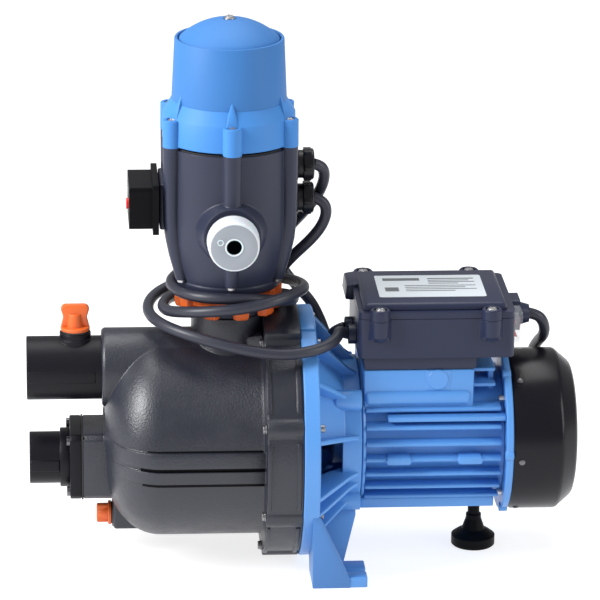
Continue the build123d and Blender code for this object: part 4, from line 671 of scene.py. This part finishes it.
def fan_hood():
    """The fan cover with its rings and spokes."""
    hood = Shape()
    hood.turned([(124.5, 57.6), (124.5, 58.3), (127.6, 59.4), (158.5, 59.5), (160.6, 58.9), (162.0, 57.6),
                 (170.2, 50.6), (171.6, 48.8), (172.4, 46.0), (172.6, 43.0), (171.2, 43.0), (170.8, 46.2),
                 (169.6, 49.0), (160.8, 56.4), (158.0, 57.6)], at=SHAFT, steps=128, closed=True)
    for radius, width in ((42.2, 1.6), (29.0, 1.2), (15.5, 1.6)):
        hood.turned([(171.0, radius - width), (171.0, radius + width), (172.8, radius + width),
                     (172.8, radius - width)], at=SHAFT, steps=80, closed=True, soft=0.3)
    hood.turned([(171.0, 0), (171.0, 15.0), (172.9, 15.0), (172.9, 0)], at=SHAFT, steps=64)
    hood.around(Shape().block((171.1, -1.9, AXIS + 15.0), (172.6, 1.9, AXIS + 43.0), 0.3), 24, "X", SHAFT)
    hood.piece("fan_hood", gloss_black, "black_plastic", "pump", "fan_cover")


def body_bolts():
    """The bolts round the casing flange: head, washer and stud end."""
    fixings = Shape()
    for y, z in round_spots(BOLTS, 84.0, AXIS):
        head = [(y + dy, dz) for dy, dz in round_spots(HEXAGON, 3.2, z)]
        fixings.prism(head, "X", -59.6, -57.6, 0.35)
        fixings.turned([(-57.7, 0), (-57.7, 3.7), (-56.9, 3.7), (-56.9, 0)], at=(0, y, z), steps=28)
        fixings.turned([(-18.4, 0), (-18.4, 2.9), (-15.6, 2.9), (-15.0, 2.3), (-15.0, 0)], at=(0, y, z),
                       steps=28)
    fixings.piece("body_bolts", dull_steel, "steel", "pump", "casing_bolts")


def hood_screws_small():
    """The small screws round the fan cover."""
    rivets = Shape()
    for y, z in round_spots((35, -35, 95, -95, 150, -150), 1.0, 0.0):
        stud = Shape().turned([(58.6, 0), (58.6, 2.2), (59.9, 2.2), (60.3, 1.4), (60.4, 0)], "Z",
                              (130.4, 0, 0), 24)
        turn = Matrix.Rotation(-math.atan2(y, z), 4, "X")
        rivets.take(stud, Matrix.Translation(SHAFT) @ turn)
    rivets.piece("hood_screws_small", dark_steel, "steel", "pump", "fan_cover_screws")


# ---------------------------------------------------------------- terminal box
def box_base():
    """The terminal box below its lid, with the four screw columns."""
    base = Shape()
    base.block((11.3, -46.0, 162.7), (124.3, 46.0, 192.3), 5.0, along=2)
    base.hull([(x, y, z) for x, w, z in ((14.6, 43.0, 163.4), (98.0, 43.0, 163.4), (15.5, 42.0, 152.5),
                                         (97.0, 42.0, 152.5)) for y in (w, -w)], 1.2)
    for x, y in LID_SCREWS:
        side = math.copysign(1, y)
        base.stalk([(x, y - side * 1.6, 176.0, 5.2), (x, y, 180.0, 6.9), (x, y, 192.3, 7.3)], 28)
        base.prism([(x - 9.0, y - side * 1.0), (x + 9.0, y - side * 1.0), (x + 6.0, y + side * 3.2),
                    (x - 6.0, y + side * 3.2)], "Z", 177.0, 192.3, 0.6)
    base.piece("box_base", moulded_black, "black_plastic", "pump", "terminal_box")


def box_cover():
    """The terminal box's lid, with screw cups and the ear beside the bracket."""
    cover = Shape()
    cover.block((11.3, -46.0, 192.6), (124.3, 46.0, 197.2), 5.0, along=2)
    cover.hull([(x, y, z) for low, high, w, z in ((14.0, 119.6, 41.2, 197.0), (16.2, 117.4, 39.0, 202.4))
                for x in (low, high) for y in (w, -w)], 2.2)
    for x, y in LID_SCREWS:
        cover.turned([(192.6, 0), (192.6, 7.5), (199.4, 7.2), (200.2, 6.4), (200.2, 4.9), (198.6, 4.7),
                      (198.6, 0)], "Z", (x, y, 0), 36)
    cover.hull([(x, y, z) for x, z in ((5.8, 188.0), (7.0, 199.0), (16.0, 187.0), (16.0, 200.5))
                for y in (14.0, 45.0)], 1.2)
    cover.piece("box_cover", moulded_black, "black_plastic", "pump", "lid")


def cover_screws():
    """The lid's four cross-slotted screws."""
    screws = Shape()
    for x, y in LID_SCREWS:
        screws.turned([(197.6, 0), (197.6, 4.1), (199.2, 4.1), (200.4, 3.0), (200.8, 0)], "Z", (x, y, 0), 28)
        screws.cross_slot(x, y, 200.2, 200.95, 2.3, 0.35, 35)
    screws.piece("cover_screws", steel, "steel", "pump", "lid_screws")


def label_bars():
    """Plain grey bars in place of print on the label."""
    marks = Shape()
    title, square = (33.0, 60.0, 15.0, 3.0), (33.0, 43.0, -8.0, 4.5)
    lines = ((66.0, 96.0, 12.5), (66.0, 100.0, 9.0), (66.0, 88.0, 5.5), (48.0, 100.0, 0.5),
             (48.0, 92.0, -3.5), (48.0, 100.0, -7.5), (48.0, 84.0, -11.5))
    rows = [title, (66.0, 100.0, 16.5, 1.0)] + [(*line, 0.7) for line in lines] + [square]
    for x0, x1, y, half in rows:
        marks.block((x0, y - half, 202.55), (x1, y + half, 202.82), 0)
    marks.piece("label_bars", print_grey, "label", "pump")


# ---------------------------------------------------------------- pressure controller
def controller_shell():
    """The controller's body: bowl, posts, outlet, gland seats and the seat of its panel."""
    body = Shape()
    bowl = [(206.6, 0), (206.6, 34.0), (207.6, 36.8), (209.0, 38.0), (210.5, 38.5), (213.8, 38.7),
            (214.6, 38.2), (220.0, 40.0), (228.0, 42.6), (236.0, 44.7), (245.0, 46.4), (256.0, 47.3),
            (268.0, 47.5), (315.0, 47.5), (315.0, 0)]
    body.turned(bowl, "Z", NECK, 112)
    body.turned([(188.5, 0), (188.5, 27.9), (200.0, 27.9), (200.0, 0)], "Z", NECK, 64)
    for a in POSTS:
        rings = [(POST_R, 317.3, 6.6), (POST_R, 290.0, 6.4), (48.0, 262.0, 6.2), (46.8, 248.0, 5.9),
                 (44.6, 236.0, 5.4), (41.6, 224.0, 4.8), (39.8, 216.5, 4.3)]
        body.stalk([(NECK[0] + r * math.cos(a), r * math.sin(a), z, w) for r, z, w in rings], 24)
    body.turned([(40.0, 0), (40.0, 25.5), (49.0, 22.6), (55.0, 21.2), (56.5, 20.4), (56.5, 0)],
                "-Y", OUTLET, 72)
    body.turned([(56.0, 12.5), (56.0, 16.6), (78.0, 16.6), (78.0, 13.4), (56.0, 12.5)], "-Y", OUTLET, 64)
    for z in GLAND_HEIGHTS:
        body.turned([(-60.0, 0), (-60.0, 12.6), (-34.0, 12.6), (-33.4, 12.0), (-33.4, 0)], at=(0, 0, z),
                    steps=48)
    body.block((-131.5, -22.0, 254.0), (-110.0, 22.0, 288.0), 1.5)
    body.piece("controller_shell", satin_black, "black_plastic", "pump", "controller_body")


def controller_hood():
    """The skirt of the controller's hood, with a boss and gusset at each post."""
    hat = Shape()
    hat.turned([(317.6, 44.0), (317.6, 47.6), (318.2, 48.0), (336.6, 47.6), (337.6, 47.0), (345.0, 42.4),
                (346.6, 41.5), (346.6, 38.2), (336.0, 44.0)], "Z", NECK, 128, closed=True)
    for a in POSTS:
        out, across = Vector((math.cos(a), math.sin(a), 0)), Vector((-math.sin(a), math.cos(a), 0))
        centre = Vector(NECK)
        spot = centre + out * POST_R
        hat.turned([(316.6, 0), (316.6, 6.3), (317.1, 6.8), (336.4, 6.7), (337.0, 6.1), (337.0, 4.0),
                    (335.4, 3.8), (335.4, 0)], "Z", (spot.x, spot.y, 0), 36)
        gusset = ((40.0, 5.4, 336.0), (40.0, -5.4, 336.0), (47.6, 4.2, 336.4), (47.6, -4.2, 336.4),
                  (46.0, 0, 341.0), (40.6, 0.5, 353.5), (40.6, -0.5, 353.5))
        hat.hull([centre + out * r + across * w + Vector((0, 0, z)) for r, w, z in gusset], 0.4)
    hat.piece("controller_hood", blue_plastic, "blue_plastic", "pump", "controller_cap")


def hood_cup():
    """The tapered wall above the skirt."""
    cup = Shape()
    cup.turned([(346.0, 38.4), (346.0, 41.4), (348.0, 41.3), (390.4, 39.3), (391.0, 38.9), (391.0, 37.4),
                (390.4, 36.9), (384.0, 36.9), (384.0, 34.0), (348.0, 38.0)], "Z", NECK, 128, closed=True)
    # The cup wears the darker blue copy of the hood plastic as painted shade.
    cup.piece("hood_cup", shaded_hood_blue, "blue_plastic", "pump")


def hood_top():
    """The domed cap in the top of the hood."""
    dome = Shape()
    seat, screw_seat = [(384.5, 0), (384.5, 36.4), (389.2, 36.4)], [(404.4, 4.8), (403.8, 4.4), (403.8, 0)]
    lens = [(352.6 + 52.2 * math.cos(math.radians(a)), 52.2 * math.sin(math.radians(a)))
            for a in range(43, 5, -3)]
    dome.turned(seat + lens + screw_seat, "Z", NECK, 112)
    # The domed top wears the darker blue copy of the hood plastic as painted shade.
    dome.piece("hood_top", shaded_hood_blue, "blue_plastic", "pump", "cap_dome")


def top_screw():
    """The cross-slotted screw in the cap."""
    heads = Shape()
    heads.turned([(403.9, 0), (403.9, 4.0), (404.8, 4.0), (406.2, 2.8), (406.7, 0)], "Z", NECK, 32)
    heads.cross_slot(NECK[0], 0, 406.0, 406.95, 2.2, 0.35, 20)
    heads.piece("top_screw", steel, "steel", "pump", "dome_screw")


def hood_screws():
    """The screws down the six posts, seen at both ends."""
    studs = Shape()
    for k, a in enumerate(POSTS):
        high = (NECK[0] + POST_R * math.cos(a), POST_R * math.sin(a), 0)
        low = (NECK[0] + 39.9 * math.cos(a), 39.9 * math.sin(a), 0)
        studs.turned([(335.5, 0), (335.5, 3.5), (336.6, 3.3), (337.4, 0)], "Z", high, 24)
        studs.cross_slot(high[0], high[1], 336.8, 337.5, 1.9, 0.3, 27 * k)
        studs.turned([(213.9, 0), (213.9, 2.4), (214.6, 3.2), (216.8, 3.4), (216.8, 0)], "Z", low, 24)
    studs.piece("hood_screws", steel, "steel", "pump", "controller_screws")


def outlet_closure():
    """The closure on the controller's front outlet, and its face in a darker grey copy of the same white
    plastic: painted shade on the front face.
    """
    closure = Shape()
    closure.turned([(63.5, 16.9), (63.5, 18.2), (64.3, 18.7), (69.0, 18.6), (76.5, 18.2), (79.2, 17.9),
                    (80.2, 17.4), (80.4, 16.9), (80.4, 6.4), (79.9, 5.8), (78.2, 5.8), (78.2, 16.9)],
                   "-Y", OUTLET, 80, closed=True)
    for spot, inner, outer in ((OUTLET, 5.4, 6.6), ((-90.6, 0, 262.4), 1.5, 2.3)):
        closure.turned([(79.6, inner), (79.6, outer), (80.8, outer), (80.8, inner)], "-Y", spot, 40,
                       closed=True, soft=0.2)
    closure.piece("outlet_closure", white_plastic, "white_plastic", "outlet_closure", "outlet_cap")
    face = Shape()
    face.turned([(79.0, 6.0), (79.0, 16.9), (80.5, 16.6), (80.5, 6.0)], "-Y", OUTLET, 64, closed=True,
                soft=0.2)
    # The face wears the darker grey copy of the white plastic as painted shade.
    face.piece("closure_face", shaded_white_plastic, "white_plastic", "outlet_closure")


def neck_nut():
    """The union nut with its ten lugs."""
    nut = Shape()
    nut.turned([(196.4, 28.2), (196.4, 33.0), (197.6, 35.0), (205.4, 35.0), (206.2, 34.0), (206.2, 28.2)],
               "Z", NECK, 80, closed=True, soft=0.3)
    lug = Shape().hull([(NECK[0] + r, y, z) for r, w, z in ((31.0, 6.0, 206.0), (39.0, 5.4, 206.0),
                                                            (38.6, 4.8, 192.0), (37.4, 3.8, 189.6),
                                                            (31.0, 5.2, 189.2)) for y in (w, -w)], 0.7)
    nut.around(lug, 10, "Z", NECK, 31)
    nut.piece("neck_nut", orange_plastic, "orange_plastic", "ring_nut", "ring_nut")


def hood_glands():
    """The controller's two cable glands."""
    glands = Shape()
    for z in GLAND_HEIGHTS:
        glands.turned([(-33.0, 4.5), (-33.0, 11.6), (-31.4, 11.6), (-30.9, 10.2), (-27.4, 10.2),
                       (-27.4, 4.5)], at=(0, 0, z), steps=48, closed=True, soft=0.2)
        glands.prism(round_spots(HEXAGON, 12.6, z), "X", -27.2, -21.6, 0.5)
        glands.turned([(-27.2, 4.5), (-27.2, 11.3), (-20.6, 11.3), (-19.7, 10.2), (-19.7, 5.6),
                       (-21.0, 4.5)], at=(0, 0, z), steps=48, closed=True)
    glands.piece("hood_glands", smooth_black, "black_plastic", "pump", "controller_glands")


for make in (casing_shell, upper_nozzle, band_shadow_strips, inlet_fitting, filling_plug, draining_plug,
             lantern_bracket, motor_frame, rear_ring, fan_hood, body_bolts, hood_screws_small, box_base,
             box_cover, cover_screws, label_bars, controller_shell, controller_hood, hood_cup, hood_top,
             top_screw, hood_screws, outlet_closure, neck_nut, hood_glands):
    make()

# ---------------------------------------------------------------- floor
sheet = bmesh.new()
bmesh.ops.create_grid(sheet, x_segments=1, y_segments=1, size=6)
floor_mesh = bpy.data.meshes.new("floor")
sheet.to_mesh(floor_mesh)
floor = bpy.data.objects.new("floor", floor_mesh)
bpy.context.collection.objects.link(floor)
floor_white = Finish("floor_white", (0.42, 0.42, 0.43), 0.7, Emission_Color=(1, 1, 1, 1),
                     Emission_Strength=0.78)
floor_mesh.materials.append(floor_white.material)
